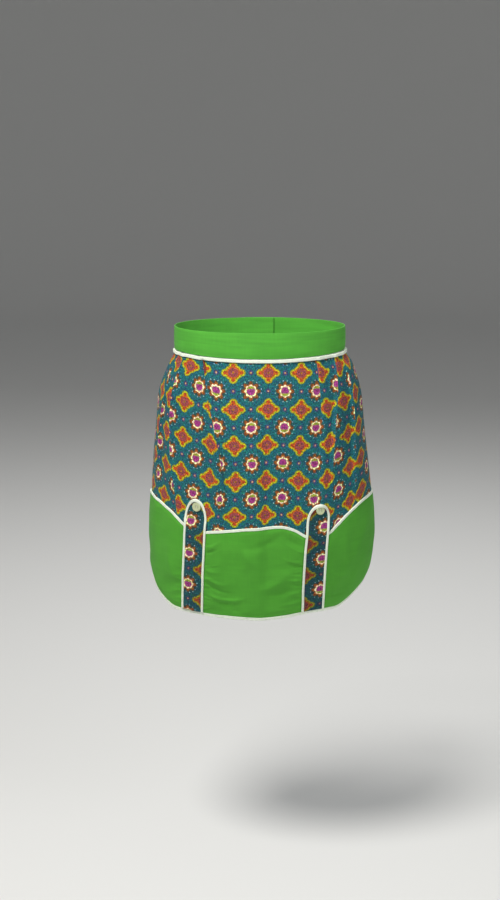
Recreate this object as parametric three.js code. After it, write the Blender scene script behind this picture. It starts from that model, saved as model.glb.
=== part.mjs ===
// Half apron in its worn form, in millimetres.
// Origin at the centre of the waist loop, +Z up, the front faces -Y.
import * as THREE from "three";

// Band, piping and cloth sizes
const BAND_TOP = 22;
const BAND_HEIGHT = 43;
const BAND_WALL = 2.2;
const BAND_BACK_DEPTH = 92;
const BAND_OVERLAP = 10;
const SEAM_RISE = 4;
const CLOTH_WALL = 1.2;
const GAP = 0.35;
const LAYER_GAP = 0.7;
const WAIST_PIPING = 6;
const BORDER_PIPING = 6;
const HEM_PIPING = 5.2;
const TAB_PIPING = 5.2;
const PIPING_LOW = -0.5;
const PIPING_HIGH = 3.1;
const BUTTON_DIAMETER = 16;
const BUTTON_THICK = 2.6;
const BUTTON_HOLE = 1.8;
const BUTTON_HOLE_CIRCLE = 4.4;

// Outward distance of each layer from the inner face of the skirt
const BORDER_LIFT = CLOTH_WALL + LAYER_GAP;
const TAB_LIFT_LOW = PIPING_HIGH + LAYER_GAP;
const TAB_LIFT_HEAD = CLOTH_WALL + LAYER_GAP;
const TAB_RAMP = 22;

// Skirt grid
const LEFT_EDGE = -193;
const RIGHT_EDGE = 212;
const STRETCH_FROM = 110;
const STRETCH_TO = 193;
const UPPER_ROWS = [0, 0.045, 0.11, 0.2, 0.33, 0.5, 0.67, 0.84];
const BORDER_ROWS = 6;

const BAND_BOTTOM = BAND_TOP - BAND_HEIGHT;
const SEAM = BAND_BOTTOM - GAP - WAIST_PIPING - GAP;

// Body sections: drop below the skirt seam, half width on each side, how far the front stands out,
// depth from the front to the widest line, sideways shift, arc from the front centre to STRETCH_TO on each side
const SECTIONS = [
  { drop: -60, left: 142, right: 142, front: 99, depth: 99, shift: -1, leftArc: 189, rightArc: 189 },
  { drop: 0, left: 145, right: 145, front: 101, depth: 101, shift: 0, leftArc: 193, rightArc: 193 },
  { drop: 16, left: 152.5, right: 155.5, front: 104, depth: 108, shift: 0, leftArc: 205, rightArc: 205 },
  { drop: 44, left: 164.5, right: 166, front: 110, depth: 120, shift: 0, leftArc: 222, rightArc: 222 },
  { drop: 72, left: 173, right: 173, front: 115, depth: 130, shift: 0, leftArc: 234, rightArc: 233 },
  { drop: 128, left: 179, right: 179, front: 122, depth: 142, shift: 0.3, leftArc: 247, rightArc: 245 },
  { drop: 184, left: 185, right: 185, front: 126, depth: 150, shift: 1.5, leftArc: 256, rightArc: 252 },
  { drop: 240, left: 190, right: 190, front: 128, depth: 153, shift: 3, leftArc: 261, rightArc: 256 },
  { drop: 300, left: 194, right: 193.5, front: 125, depth: 150, shift: 4, leftArc: 262, rightArc: 258 },
  { drop: 345, left: 194, right: 192, front: 118.7, depth: 143, shift: 4, leftArc: 259.5, rightArc: 253 },
  { drop: 370, left: 193.5, right: 187.5, front: 114, depth: 138, shift: 4, leftArc: 256.5, rightArc: 247 },
  { drop: 390, left: 190.5, right: 182.5, front: 109.3, depth: 132.5, shift: 4, leftArc: 252.5, rightArc: 239.5 },
  { drop: 405, left: 188.3, right: 176.5, front: 106, depth: 129, shift: 4, leftArc: 249, rightArc: 232.5 },
  { drop: 420, left: 186, right: 168.5, front: 102.6, depth: 125, shift: 4, leftArc: 245.5, rightArc: 224.5 },
  { drop: 435, left: 183.6, right: 159, front: 99.3, depth: 121.5, shift: 4, leftArc: 242, rightArc: 216 },
  { drop: 450, left: 181, right: 148, front: 96, depth: 118, shift: 4, leftArc: 238, rightArc: 207 },
];

// Lower edge of the cloth: place across the front, drop below the seam
const HEM = [
  { across: -193, drop: 338 },
  { across: -190, drop: 364 },
  { across: -184, drop: 388 },
  { across: -175, drop: 405 },
  { across: -163.5, drop: 418.5 },
  { across: -156, drop: 425.2 },
  { across: -148, drop: 430.8 },
  { across: -141, drop: 433.6 },
  { across: -133, drop: 434 },
  { across: -112, drop: 435 },
  { across: -81, drop: 435.6 },
  { across: -52, drop: 436.2 },
  { across: -4, drop: 437.4 },
  { across: 16, drop: 436.3 },
  { across: 38.5, drop: 433.8 },
  { across: 65, drop: 430.9 },
  { across: 92, drop: 429.4 },
  { across: 113, drop: 430.2 },
  { across: 130.5, drop: 431.6 },
  { across: 139, drop: 429.3 },
  { across: 149, drop: 423.4 },
  { across: 156, drop: 418 },
  { across: 164, drop: 412 },
  { across: 170, drop: 408 },
  { across: 176, drop: 404.8 },
  { across: 183.5, drop: 400.5 },
  { across: 190, drop: 395.5 },
  { across: 196, drop: 389 },
  { across: 201, drop: 380.5 },
  { across: 206, drop: 366 },
  { across: 210, drop: 345 },
  { across: 212, drop: 322 },
];

// Top edge of the green border
const BORDER_TOP = [
  { across: -193, drop: 247 },
  { across: -180, drop: 246.8 },
  { across: -166, drop: 249.2 },
  { across: -149, drop: 256.6 },
  { across: -140.8, drop: 261.5 },
  { across: -133.5, drop: 269.3 },
  { across: -126.8, drop: 278 },
  { across: -113, drop: 289.5 },
  { across: -96, drop: 287.6 },
  { across: -80, drop: 285.1 },
  { across: -50, drop: 280.3 },
  { across: -18.5, drop: 277.4 },
  { across: 0, drop: 276.6 },
  { across: 19, drop: 273.7 },
  { across: 31, drop: 273.5 },
  { across: 41, drop: 276.2 },
  { across: 53.5, drop: 280.8 },
  { across: 70.5, drop: 290 },
  { across: 90, drop: 299 },
  { across: 113.5, drop: 289 },
  { across: 120.5, drop: 280.3 },
  { across: 125, drop: 275 },
  { across: 131, drop: 268 },
  { across: 138, drop: 261.3 },
  { across: 145, drop: 255.5 },
  { across: 154, drop: 249.9 },
  { across: 165, drop: 246.8 },
  { across: 180, drop: 245.8 },
  { across: 193, drop: 246.5 },
  { across: 212, drop: 246.5 },
];

// Tucks and soft folds at six drops: crest place across, reach of the flank towards the front centre,
// reach of the flank away from it, crest height
const FOLD_DROPS = [0, 60, 120, 180, 260, 420];
const FOLDS = [
  {
    crest: [-102.5, -90.5, -79, -75, -73, -74], inner: [9, 9, 9, 10, 16, 20],
    outer: [26, 28, 32, 34, 34, 34], high: [2, 3.5, 6.5, 7.5, 3, 0.8],
  },
  {
    crest: [99.5, 106, 109, 107.5, 106, 105], inner: [9, 9, 10, 13, 18, 20],
    outer: [14, 16, 16, 14, 20, 24], high: [2, 2.4, 4, 4, 2, 0.8],
  },
  {
    crest: [-142, -146, -144.5, -141.5, -141.5, -146], inner: [9, 9, 9, 9, 10, 12],
    outer: [14, 16, 19, 20, 20, 20], high: [2, 5, 7, 6, 0.8, 0.3],
  },
  {
    crest: [134, 128, 121.7, 118.5, 118, 120], inner: [9, 9, 9, 9, 10, 12],
    outer: [18, 22, 28, 32, 32, 28], high: [2, 5, 6.5, 5, 0.8, 0.3],
  },
  {
    crest: [158, 157.5, 155.5, 152, 150, 152], inner: [9, 9, 9, 9, 9, 10],
    outer: [22, 22, 26, 28, 28, 24], high: [1, 4.5, 6.5, 6, 0.8, 0.3],
  },
  {
    crest: [-160, -160, -164.5, -166, -166, -166], inner: [9, 9, 9, 9, 9, 10],
    outer: [20, 20, 20, 20, 20, 20], high: [1, 4, 5.5, 4.5, 0.7, 0.3],
  },
  {
    crest: [-8, -8, -8, -8, -9, -9], inner: [20, 20, 20, 19, 20, 24],
    outer: [34, 34, 34, 34, 34, 34], high: [0, 0.5, 4.5, 7.5, 6, 1],
  },
];

// Tabs: arc place and drop of the head, length of the round head, arc place at the hem, sideways bow
// half way down, width over the piping, arc place of the button
const TABS = [
  { side: "left", head: -113.2, top: 231, round: 37, foot: -123, bow: -1.4, width: 43.5, buttonAt: -112.6 },
  { side: "right", head: 98.6, top: 238, round: 27, foot: 87, bow: -3.5, width: 42.5, buttonAt: 98.2 },
];

const PRINT = 0x1d5f78;
const GREEN = 0x57a83c;
const WHITE = 0xf1efe0;
const PALE = 0xd3d2b4;

// A line through the rows of a table that does not overshoot them
function smoothLine(xs, ys) {
  const last = xs.length - 1;
  const step = xs.slice(1).map((x, i) => x - xs[i]);
  const rise = step.map((h, i) => (ys[i + 1] - ys[i]) / h);
  const slope = ys.map((_, i) => {
    if (i === 0) return rise[0];
    if (i === last) return rise[last - 1];
    const before = rise[i - 1], after = rise[i];
    if (before * after <= 0) return 0;
    const w1 = 2 * step[i] + step[i - 1], w2 = step[i] + 2 * step[i - 1];
    return (w1 + w2) / (w1 / before + w2 / after);
  });
  return (x) => {
    if (x <= xs[0]) return ys[0];
    if (x >= xs[last]) return ys[last];
    let i = 0;
    while (x > xs[i + 1]) i += 1;
    const h = step[i], q = (x - xs[i]) / h, q2 = q * q, q3 = q2 * q;
    return ys[i] * (2 * q3 - 3 * q2 + 1) + ys[i + 1] * (3 * q2 - 2 * q3)
      + h * (slope[i] * (q3 - 2 * q2 + q) + slope[i + 1] * (q3 - q2));
  };
}
const lineOf = (table, key, value) => smoothLine(table.map((r) => r[key]), table.map((r) => r[value]));
const leftHalf = lineOf(SECTIONS, "drop", "left");
const rightHalf = lineOf(SECTIONS, "drop", "right");
const half = (side, drop) => (side < 0 ? leftHalf(drop) : rightHalf(drop));
const front = lineOf(SECTIONS, "drop", "front");
const depth = lineOf(SECTIONS, "drop", "depth");
const shift = lineOf(SECTIONS, "drop", "shift");
const leftArc = lineOf(SECTIONS, "drop", "leftArc");
const rightArc = lineOf(SECTIONS, "drop", "rightArc");
const hemDrop = lineOf(HEM, "across", "drop");
const borderDrop = lineOf(BORDER_TOP, "across", "drop");
const foldLines = FOLDS.map((f) => ({
  crest: smoothLine(FOLD_DROPS, f.crest),
  inner: smoothLine(FOLD_DROPS, f.inner),
  outer: smoothLine(FOLD_DROPS, f.outer),
  high: smoothLine(FOLD_DROPS, f.high),
}));
const ease = (x) => {
  const q = Math.min(1, Math.max(0, x));
  return q * q * (3 - 2 * q);
};

// Arc length of a body section from the front centre to an angle, and its inverse
function arcTo(angle, drop) {
  const a = half(angle, drop), d = depth(drop), n = 16, h = angle / n;
  const rate = (q) => Math.hypot(a * Math.cos(q), d * Math.sin(q));
  let sum = rate(0) + rate(angle);
  for (let i = 1; i < n; i += 1) sum += (i % 2 ? 4 : 2) * rate(i * h);
  return (sum * h) / 3;
}
function angleAt(arc, drop) {
  const a = half(arc, drop), d = depth(drop);
  let angle = arc / a;
  for (let i = 0; i < 6; i += 1) {
    angle -= (arcTo(angle, drop) - arc) / Math.hypot(a * Math.cos(angle), d * Math.sin(angle));
  }
  return angle;
}

// Place across (counted at the waist seam) to arc length at a drop, and back
const stretch = (side, drop) => (
  ((side < 0 ? leftArc(drop) : rightArc(drop)) - STRETCH_FROM) / (STRETCH_TO - STRETCH_FROM));
function arcOf(across, drop) {
  const more = Math.abs(across) - STRETCH_FROM;
  return more <= 0 ? across : Math.sign(across) * (STRETCH_FROM + more * stretch(across, drop));
}
function acrossOf(arc, drop) {
  const more = Math.abs(arc) - STRETCH_FROM;
  return more <= 0 ? arc : Math.sign(arc) * (STRETCH_FROM + more / stretch(arc, drop));
}

// How far the folds stand out from the body section
function foldHeight(across, drop) {
  let sum = 0;
  for (const fold of foldLines) {
    const away = (across - fold.crest(drop)) * Math.sign(fold.crest(drop) || 1);
    const reach = away < 0 ? fold.inner(drop) : fold.outer(drop);
    const q = Math.abs(away) / reach;
    if (q < 1) sum += fold.high(drop) * 0.5 * (1 + Math.cos(Math.PI * q));
  }
  return sum;
}

// A point on the apron: arc place, drop below the seam, outward distance
function pointAtArc(arc, drop, lift) {
  const angle = angleAt(arc, drop);
  const a = half(arc, drop), d = depth(drop);
  const nx = d * Math.sin(angle), ny = -a * Math.cos(angle), n = Math.hypot(nx, ny);
  const out = lift + foldHeight(acrossOf(arc, drop), drop);
  return new THREE.Vector3(
    shift(drop) + a * Math.sin(angle) + (out * nx) / n,
    d - front(drop) - d * Math.cos(angle) + (out * ny) / n,
    SEAM + SEAM_RISE * Math.sin(angle) ** 2 - drop,
  );
}
const pointAt = (across, drop, lift) => pointAtArc(arcOf(across, drop), drop, lift);

// A closed solid through equal loops of points, with its two ends filled and its faces outward
function loft(loops) {
  const count = loops[0].length;
  const points = loops.flat();
  const index = [];
  for (let i = 0; i < loops.length - 1; i += 1) {
    for (let j = 0; j < count; j += 1) {
      const a = i * count + j, b = i * count + ((j + 1) % count);
      const c = a + count, d = b + count;
      const alongA = points[a].distanceTo(points[d]), alongB = points[b].distanceTo(points[c]);
      index.push(...(alongA < alongB ? [a, b, d, a, d, c] : [a, b, c, b, d, c]));
    }
  }
  const end = (loops.length - 1) * count;
  for (let j = 0; j < count / 2 - 1; j += 1) {
    const a = j, b = j + 1, c = count - 2 - j, d = count - 1 - j;
    index.push(a, d, b, b, d, c);
    index.push(end + a, end + b, end + d, end + b, end + c, end + d);
  }
  let volume = 0;
  for (let k = 0; k < index.length; k += 3) {
    const [a, b, c] = [points[index[k]], points[index[k + 1]], points[index[k + 2]]];
    volume += a.dot(b.clone().cross(c));
  }
  if (volume < 0) index.reverse();
  const geometry = new THREE.BufferGeometry();
  geometry.setAttribute("position", new THREE.Float32BufferAttribute(points.flatMap((p) => p.toArray()), 3));
  geometry.setIndex(index);
  geometry.computeVertexNormals();
  return geometry;
}

// Round strip section: fraction across its width, outward distance
function roundSection(low, high) {
  const mid = (low + high) / 2;
  return [[0, mid], [0.22, high], [0.78, high], [1, mid], [0.78, low], [0.22, low]];
}

// Columns of the skirt: even steps with closer ones at the round corners
const COLUMNS = [];
for (let across = LEFT_EDGE; across < -176; across += 4) COLUMNS.push(across);
for (let across = -172.5; across < 173; across += 7.5) COLUMNS.push(across);
for (let across = 177; across <= RIGHT_EDGE; across += 5) COLUMNS.push(across);

// Rows of a column: the border's rows, and those of the skirt above them
const borderEdge = (across) => borderDrop(across) + BORDER_PIPING / 2 + GAP;
function borderRows(across) {
  const top = borderEdge(across), step = (hemDrop(across) - top) / BORDER_ROWS;
  return Array.from({ length: BORDER_ROWS + 1 }, (_, i) => top + step * i);
}
function skirtRows(across) {
  return [...UPPER_ROWS.map((q) => q * borderEdge(across)), ...borderRows(across)];
}

// A cloth wall, one loop for each column
function clothWall(rowsOf, lift) {
  return loft(COLUMNS.map((across) => {
    const rows = rowsOf(across);
    const outside = rows.map((drop) => pointAt(across, drop, lift + CLOTH_WALL));
    const inside = rows.map((drop) => pointAt(across, drop, lift)).reverse();
    return [...inside, ...outside];
  }));
}

// A strip along a path of places on the apron, laid on the far side of the path
function edgeStrip(path, width, section, liftOf) {
  return loft(path.map(({ arc, drop, da, dd }) => section.map(([q, lift]) => {
    const reach = GAP + q * width;
    return pointAtArc(arc + da * reach, drop + dd * reach, lift + liftOf(arc, drop));
  })));
}

// Unit directions to the left of travel along a path of arc places and drops
function withNormals(path) {
  return path.map((p, i) => {
    const a = path[Math.max(0, i - 1)], b = path[Math.min(path.length - 1, i + 1)];
    const ta = b.arc - a.arc, td = b.drop - a.drop, n = Math.hypot(ta, td);
    return { ...p, da: -td / n, dd: ta / n };
  });
}

const root = new THREE.Group();
root.name = "apron";
function add(name, geometry, color) {
  const mesh = new THREE.Mesh(geometry, new THREE.MeshStandardMaterial({ color }));
  mesh.name = name;
  root.add(mesh);
  return mesh;
}

// Waistband: a full loop whose ends lap at the centre back
function bandPoint(angle, z, lift) {
  const drop = -30;
  const a = half(angle, drop), d = Math.cos(angle) > 0 ? depth(drop) : BAND_BACK_DEPTH;
  const nx = d * Math.sin(angle), ny = -a * Math.cos(angle), n = Math.hypot(nx, ny);
  return new THREE.Vector3(a * Math.sin(angle) + (lift * nx) / n, -d * Math.cos(angle) + (lift * ny) / n, z);
}
const bandBottom = (angle) => BAND_BOTTOM + SEAM_RISE * Math.sin(angle) ** 2;
const bandLoops = [];
for (let degrees = -180 - BAND_OVERLAP; degrees <= 180 + BAND_OVERLAP; degrees += 5) {
  const angle = THREE.MathUtils.degToRad(degrees);
  const lift = (BAND_WALL + GAP) * ease((degrees - 140) / 30);
  bandLoops.push([
    bandPoint(angle, BAND_TOP, lift), bandPoint(angle, bandBottom(angle), lift),
    bandPoint(angle, bandBottom(angle), lift + BAND_WALL), bandPoint(angle, BAND_TOP, lift + BAND_WALL),
  ]);
}
add("waistband", loft(bandLoops), GREEN);

// Waist piping between the band and the skirt
const waistLoops = [];
for (let i = 0; i <= 32; i += 1) {
  const arc = LEFT_EDGE - 1 + ((RIGHT_EDGE - LEFT_EDGE + 2) * i) / 32;
  waistLoops.push(roundSection(PIPING_LOW, PIPING_HIGH).map(([q, lift]) => (
    pointAtArc(arc, -GAP - WAIST_PIPING + q * WAIST_PIPING, lift))));
}
add("waist_piping", loft(waistLoops), WHITE);

// Skirt and border
add("skirt", clothWall(skirtRows, 0), PRINT);
add("hem_border", clothWall(borderRows, BORDER_LIFT), GREEN);

// Border piping along the shaped edge
const borderPath = COLUMNS.map((across) => {
  const drop = borderEdge(across);
  return { arc: arcOf(across, drop), drop };
}).reverse();
add("border_piping", edgeStrip(withNormals(borderPath), BORDER_PIPING,
  roundSection(BORDER_LIFT, PIPING_HIGH), () => 0), WHITE);

// Hem piping: from the top corner of the border down its side edge, round the hem and up the other side
const hemPath = [];
const sideRows = (across) => [borderDrop(across) - BORDER_PIPING / 2, ...borderRows(across).slice(0, -1)];
for (const drop of sideRows(LEFT_EDGE)) hemPath.push({ arc: arcOf(LEFT_EDGE, drop), drop });
for (const across of COLUMNS) hemPath.push({ arc: arcOf(across, hemDrop(across)), drop: hemDrop(across) });
for (const drop of sideRows(RIGHT_EDGE).reverse()) hemPath.push({ arc: arcOf(RIGHT_EDGE, drop), drop });
const hemStations = withNormals(hemPath);
for (const end of [hemStations[0], hemStations[hemStations.length - 1]]) {
  end.da = Math.sign(end.da);
  end.dd = 0;
}
add("hem_piping", edgeStrip(hemStations, HEM_PIPING, roundSection(PIPING_LOW, PIPING_HIGH), () => 0), WHITE);

// Tabs lie on the skirt at the head and on the border below it
function tabLift(arc, drop) {
  const edge = borderDrop(acrossOf(arc, drop)) - BORDER_PIPING / 2;
  return TAB_LIFT_HEAD + (TAB_LIFT_LOW - TAB_LIFT_HEAD) * ease((drop - edge + TAB_RAMP) / (TAB_RAMP - 3));
}
for (const tab of TABS) {
  const radius = tab.width / 2 - TAB_PIPING - GAP;
  const round = tab.round - TAB_PIPING - GAP;
  const top = tab.top + TAB_PIPING + GAP;
  const footDrop = hemDrop(acrossOf(tab.foot, 425));
  const place = (x, drop) => {
    const q = (drop - top) / (footDrop - top);
    return { arc: tab.head + (tab.foot - tab.head) * q + 4 * tab.bow * q * (1 - q) + x, drop };
  };
  const columns = [-1, -0.9, -0.68, -0.25, 0.25, 0.68, 0.9, 1].map((q) => q * radius);
  const tabLoops = columns.map((x) => {
    const start = top + round * (1 - Math.sqrt(1 - (x / radius) ** 2));
    const foot = hemDrop(acrossOf(tab.foot + x, 425));
    const rows = Array.from({ length: 15 }, (_, i) => place(x, start + ((foot - start) * i) / 14));
    const low = rows.map((p) => pointAtArc(p.arc, p.drop, tabLift(p.arc, p.drop)));
    const high = rows.map((p) => pointAtArc(p.arc, p.drop, tabLift(p.arc, p.drop) + CLOTH_WALL));
    return [...low.reverse(), ...high];
  });
  add(`tab_${tab.side}`, loft(tabLoops), PRINT);

  // Piping up one side of the tab, over its round head and down the other side
  const outline = [];
  const sideTop = top + round;
  const footLeft = hemDrop(acrossOf(tab.foot - radius, 425));
  const footRight = hemDrop(acrossOf(tab.foot + radius, 425));
  for (let i = 0; i < 10; i += 1) outline.push(place(-radius, footLeft + ((sideTop - footLeft) * i) / 10));
  for (let i = 0; i <= 12; i += 1) {
    const turn = (Math.PI * i) / 12;
    outline.push(place(-radius * Math.cos(turn), sideTop - round * Math.sin(turn)));
  }
  for (let i = 1; i <= 10; i += 1) outline.push(place(radius, sideTop + ((footRight - sideTop) * i) / 10));
  const path = withNormals(outline).map((p) => ({ ...p, da: -p.da, dd: -p.dd }));
  add(`tab_piping_${tab.side}`, edgeStrip(path, TAB_PIPING,
    roundSection(0, PIPING_HIGH - BORDER_LIFT + 0.6), tabLift), WHITE);
}

// Buttons: flat discs with four holes, set square to the cloth below them
function buttonSolid(holes) {
  const disc = new THREE.Shape();
  disc.absarc(0, 0, BUTTON_DIAMETER / 2 - 0.5, 0, 2 * Math.PI, false);
  for (let i = 0; i < holes; i += 1) {
    const turn = Math.PI / 4 + (2 * Math.PI * i) / holes;
    const hole = new THREE.Path();
    hole.absarc((BUTTON_HOLE_CIRCLE / 2) * Math.cos(turn), (BUTTON_HOLE_CIRCLE / 2) * Math.sin(turn),
      BUTTON_HOLE / 2 + 0.25, 0, 2 * Math.PI, true);
    disc.holes.push(hole);
  }
  return new THREE.ExtrudeGeometry(disc, {
    depth: BUTTON_THICK - 1, bevelEnabled: true, bevelThickness: 0.5, bevelSize: 0.25, bevelSegments: 1,
    curveSegments: 7,
  }).translate(0, 0, 0.5);
}
function seat(geometry, centre, outward, up) {
  const z = outward.clone().normalize();
  const x = up.clone().cross(z).normalize();
  const y = z.clone().cross(x);
  return geometry.applyMatrix4(new THREE.Matrix4().makeBasis(x, y, z).setPosition(centre));
}
for (const tab of TABS) {
  const arc = tab.buttonAt, drop = tab.top + TAB_PIPING + 2 * GAP + BUTTON_DIAMETER / 2;
  const lift = tabLift(arc, drop) + CLOTH_WALL + GAP + 0.35;
  const across = pointAtArc(arc + 4, drop, lift).sub(pointAtArc(arc - 4, drop, lift));
  const down = pointAtArc(arc, drop + 4, lift).sub(pointAtArc(arc, drop - 4, lift));
  add(`button_${tab.side}`, seat(buttonSolid(4), pointAtArc(arc, drop, lift), down.clone().cross(across),
    down.clone().negate()), PALE);
}
const backLift = 2 * BAND_WALL + GAP + 2 * GAP;
const backCentre = bandPoint(Math.PI, BAND_TOP - BAND_HEIGHT / 2, backLift);
const backward = new THREE.Vector3(0, 1, 0), upward = new THREE.Vector3(0, 0, 1);
add("back_button", seat(buttonSolid(0), backCentre, backward, upward), GREEN);

export default root;
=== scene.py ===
import bpy
import numpy as np
from mathutils import Euler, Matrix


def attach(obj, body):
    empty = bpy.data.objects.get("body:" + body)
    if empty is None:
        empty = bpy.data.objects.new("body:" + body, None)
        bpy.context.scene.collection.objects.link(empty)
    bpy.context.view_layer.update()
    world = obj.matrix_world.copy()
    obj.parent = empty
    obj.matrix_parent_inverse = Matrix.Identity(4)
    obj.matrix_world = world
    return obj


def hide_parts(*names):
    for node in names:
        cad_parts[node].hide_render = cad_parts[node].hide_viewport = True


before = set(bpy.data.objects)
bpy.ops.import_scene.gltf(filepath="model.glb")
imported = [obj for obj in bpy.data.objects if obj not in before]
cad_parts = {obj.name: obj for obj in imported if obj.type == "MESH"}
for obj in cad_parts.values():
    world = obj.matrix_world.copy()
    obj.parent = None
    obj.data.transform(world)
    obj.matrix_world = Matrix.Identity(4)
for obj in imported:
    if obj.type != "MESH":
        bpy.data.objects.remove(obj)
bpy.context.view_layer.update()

mm = 0.001
print("frame loaded:", ", ".join(sorted(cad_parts)))


# Small curve helpers

# A smooth line through the rows of a table, clamped at its ends: a cubic between neighbours whose
# slope at each row is the weighted harmonic mean of the two steps beside it, or 0 at a turning point.
def smoothLine(places, values):
    xs, ys = np.array(places, float), np.array(values, float)
    step = np.diff(xs)
    rise = np.diff(ys) / step
    slope = np.concatenate([rise[:1], np.zeros(len(xs) - 2), rise[-1:]])
    before, after = rise[:-1], rise[1:]
    same = before * after > 0
    wBefore, wAfter = 2 * step[1:] + step[:-1], step[1:] + 2 * step[:-1]
    safeBefore, safeAfter = np.where(same, before, 1), np.where(same, after, 1)
    slope[1:-1] = np.where(same, (wBefore + wAfter) / (wBefore / safeBefore + wAfter / safeAfter), 0)

    def line(x):
        x = np.clip(np.asarray(x, float), xs[0], xs[-1])
        i = np.clip(np.searchsorted(xs, x, side="right") - 1, 0, len(step) - 1)
        q = (x - xs[i]) / step[i]
        a = (1 + 2 * q) * (1 - q) ** 2 * ys[i] + q * (1 - q) ** 2 * step[i] * slope[i]
        b = q * q * (3 - 2 * q) * ys[i + 1] + q * q * (q - 1) * step[i] * slope[i + 1]
        return a + b

    return line


# 0 below 0, 1 above 1, an even S between
def smoothStep(q):
    q = np.clip(q, 0, 1)
    return q * q * (3 - 2 * q)


# A raised cosine: 1 at 0, falling to 0 at -1 and 1
def hump(q):
    return 0.5 + 0.5 * np.cos(np.pi * np.clip(q, -1, 1))


# Uneven but repeatable waviness from -1 to 1: three sines of unlike pitch added together
def waver(x, pitch, phase=0.0):
    a = np.sin(2 * np.pi * x / pitch + phase)
    b = np.sin(2 * np.pi * x / (pitch * 0.618) + 1.7 + 2.3 * phase)
    c = np.sin(2 * np.pi * x / (pitch * 1.73) + 4.1 - phase)
    return (a + 0.7 * b + 0.8 * c) / 2.5


# The worn cloth surface, in millimetres

# Rows run down from the skirt seam. Each row is the front of an oval: half widths on the two sides,
# how far the front stands out, the depth from there to the widest line, a sideways shift, and the
# length of cloth from the front centre to stretchTo on each side.
wornForm = {
    "seam": -27.7,
    "sideRise": 4.0,
    "leftEdge": -193.0,
    "rightEdge": 212.0,
    "stretchFrom": 110.0,
    "stretchTo": 193.0,
    "drop": [-60, 0, 16, 44, 72, 128, 184, 240, 300, 345, 370, 390, 405, 420, 435, 450],
    "left": [142, 145, 152.5, 164.5, 173, 179, 185, 190, 194, 194, 193.5, 190.5, 188.3, 186, 183.6, 181],
    "right": [142, 145, 155.5, 166, 173, 179, 185, 190, 193.5, 192, 187.5, 182.5, 176.5, 168.5, 159, 148],
    "front": [99, 101, 104, 110, 115, 122, 126, 128, 125, 118.7, 114, 109.3, 106, 102.6, 99.3, 96],
    "depth": [99, 101, 108, 120, 130, 142, 150, 153, 150, 143, 138, 132.5, 129, 125, 121.5, 118],
    "shift": [-1, 0, 0, 0, 0, 0.3, 1.5, 3, 4, 4, 4, 4, 4, 4, 4, 4],
    "leftArc": [189, 193, 205, 222, 234, 247, 256, 261, 262, 259.5, 256.5, 252.5, 249, 245.5, 242, 238],
    "rightArc": [189, 193, 205, 222, 233, 245, 252, 256, 258, 253, 247, 239.5, 232.5, 224.5, 216, 207],
}
formLine = {k: smoothLine(wornForm["drop"], wornForm[k])
            for k in ("left", "right", "front", "depth", "shift", "leftArc", "rightArc")}

# Tucks and soft folds at these drops: place of the crest across the front, width of the flank that
# faces the centre and of the outer flank, height, cloth taken up in a sharp tuck cutAt inside the
# crest, cloth eased in over spread on the inner flank, and cloth lying slack over slackWide outside.
foldDrops = [0, 60, 120, 180, 260, 420]
noCloth = [0] * len(foldDrops)
slackWide = 20.0
easeInside = 0.7  # share of spread that lies on the centre's side of the crest
folds = [
    {"crest": [-102.5, -90.5, -76, -66, -70, -74], "inner": [3, 4, 6, 8, 16, 20],
     "outer": [26, 28, 32, 34, 34, 34], "high": [2, 3.5, 6.5, 7.5, 3, 0.8], "cut": [30, 25, 14, 11, 6, 4],
     "cutAt": 2.5, "ease": [0, 1.5, 4, 0.5, 2, 2], "spread": 14, "slack": [0, 0, 0, 0, -7, -4]},
    {"crest": [99.5, 106, 109, 107.5, 106, 105], "inner": [3, 3, 8, 13, 18, 20],
     "outer": [14, 16, 16, 14, 20, 24], "high": [2, 2.4, 4, 4, 2, 0.8], "cut": [28, 12, 0, 0, 0, 0],
     "cutAt": 2.5, "ease": [0, 0, 1, 6, 7, 4], "spread": 14, "slack": noCloth},
    {"crest": [-142, -146, -144.5, -141.5, -136, -140], "inner": [3, 3.2, 3.5, 4.5, 8, 12],
     "outer": [14, 16, 19, 20, 20, 20], "high": [2, 5, 7, 6, 0.8, 0.3], "cut": [27, 27, 21, 20, 10, 2],
     "cutAt": 0.4, "ease": [0, 0, 0, 1, 9, 6], "spread": 8, "slack": noCloth},
    {"crest": [134, 128, 121.7, 118.5, 118, 120], "inner": [3, 3, 3.2, 4.5, 8, 12],
     "outer": [18, 22, 28, 32, 32, 28], "high": [2, 5, 6.5, 5, 0.8, 0.3], "cut": [14.5, 17, 12.5, 4, 5, 8],
     "cutAt": 0.4, "ease": noCloth, "spread": 6, "slack": [0, 5, 8, 1, -3, 0]},
    {"crest": [156, 154, 152, 149, 148, 150], "inner": [3, 3.2, 3.5, 4, 6, 10],
     "outer": [22, 22, 26, 28, 28, 24], "high": [1, 4.5, 6.5, 6, 0.8, 0.3],
     "cut": [24, 18.5, 18.5, 18, 18, 11], "cutAt": 0.4, "ease": [4, 2, 2, 2, 5, 5], "spread": 6,
     "slack": [0, 5, 9, 11, 11, 6]},
    {"crest": [-160, -160, -164.5, -166, -166, -166], "inner": [3, 3.2, 3.5, 4, 6, 10],
     "outer": [20, 20, 20, 20, 20, 20], "high": [1, 4, 5.5, 4.5, 0.7, 0.3], "cut": [16, 16, 20, 8, 0, 0],
     "cutAt": 0.4, "ease": [4, 6, 9, 6, 4, 4], "spread": 6, "slack": noCloth},
    {"crest": [-8, -8, -8, -8, -9, -9], "inner": [20, 20, 20, 20, 20, 20],
     "outer": [34, 34, 34, 34, 34, 34], "high": [0, 0.5, 4.5, 7.5, 6, 1], "cut": noCloth,
     "cutAt": 0.0, "ease": [0, 0.3, 2.2, 5.2, 6.5, 5], "spread": 22, "slack": noCloth},
]
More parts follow.
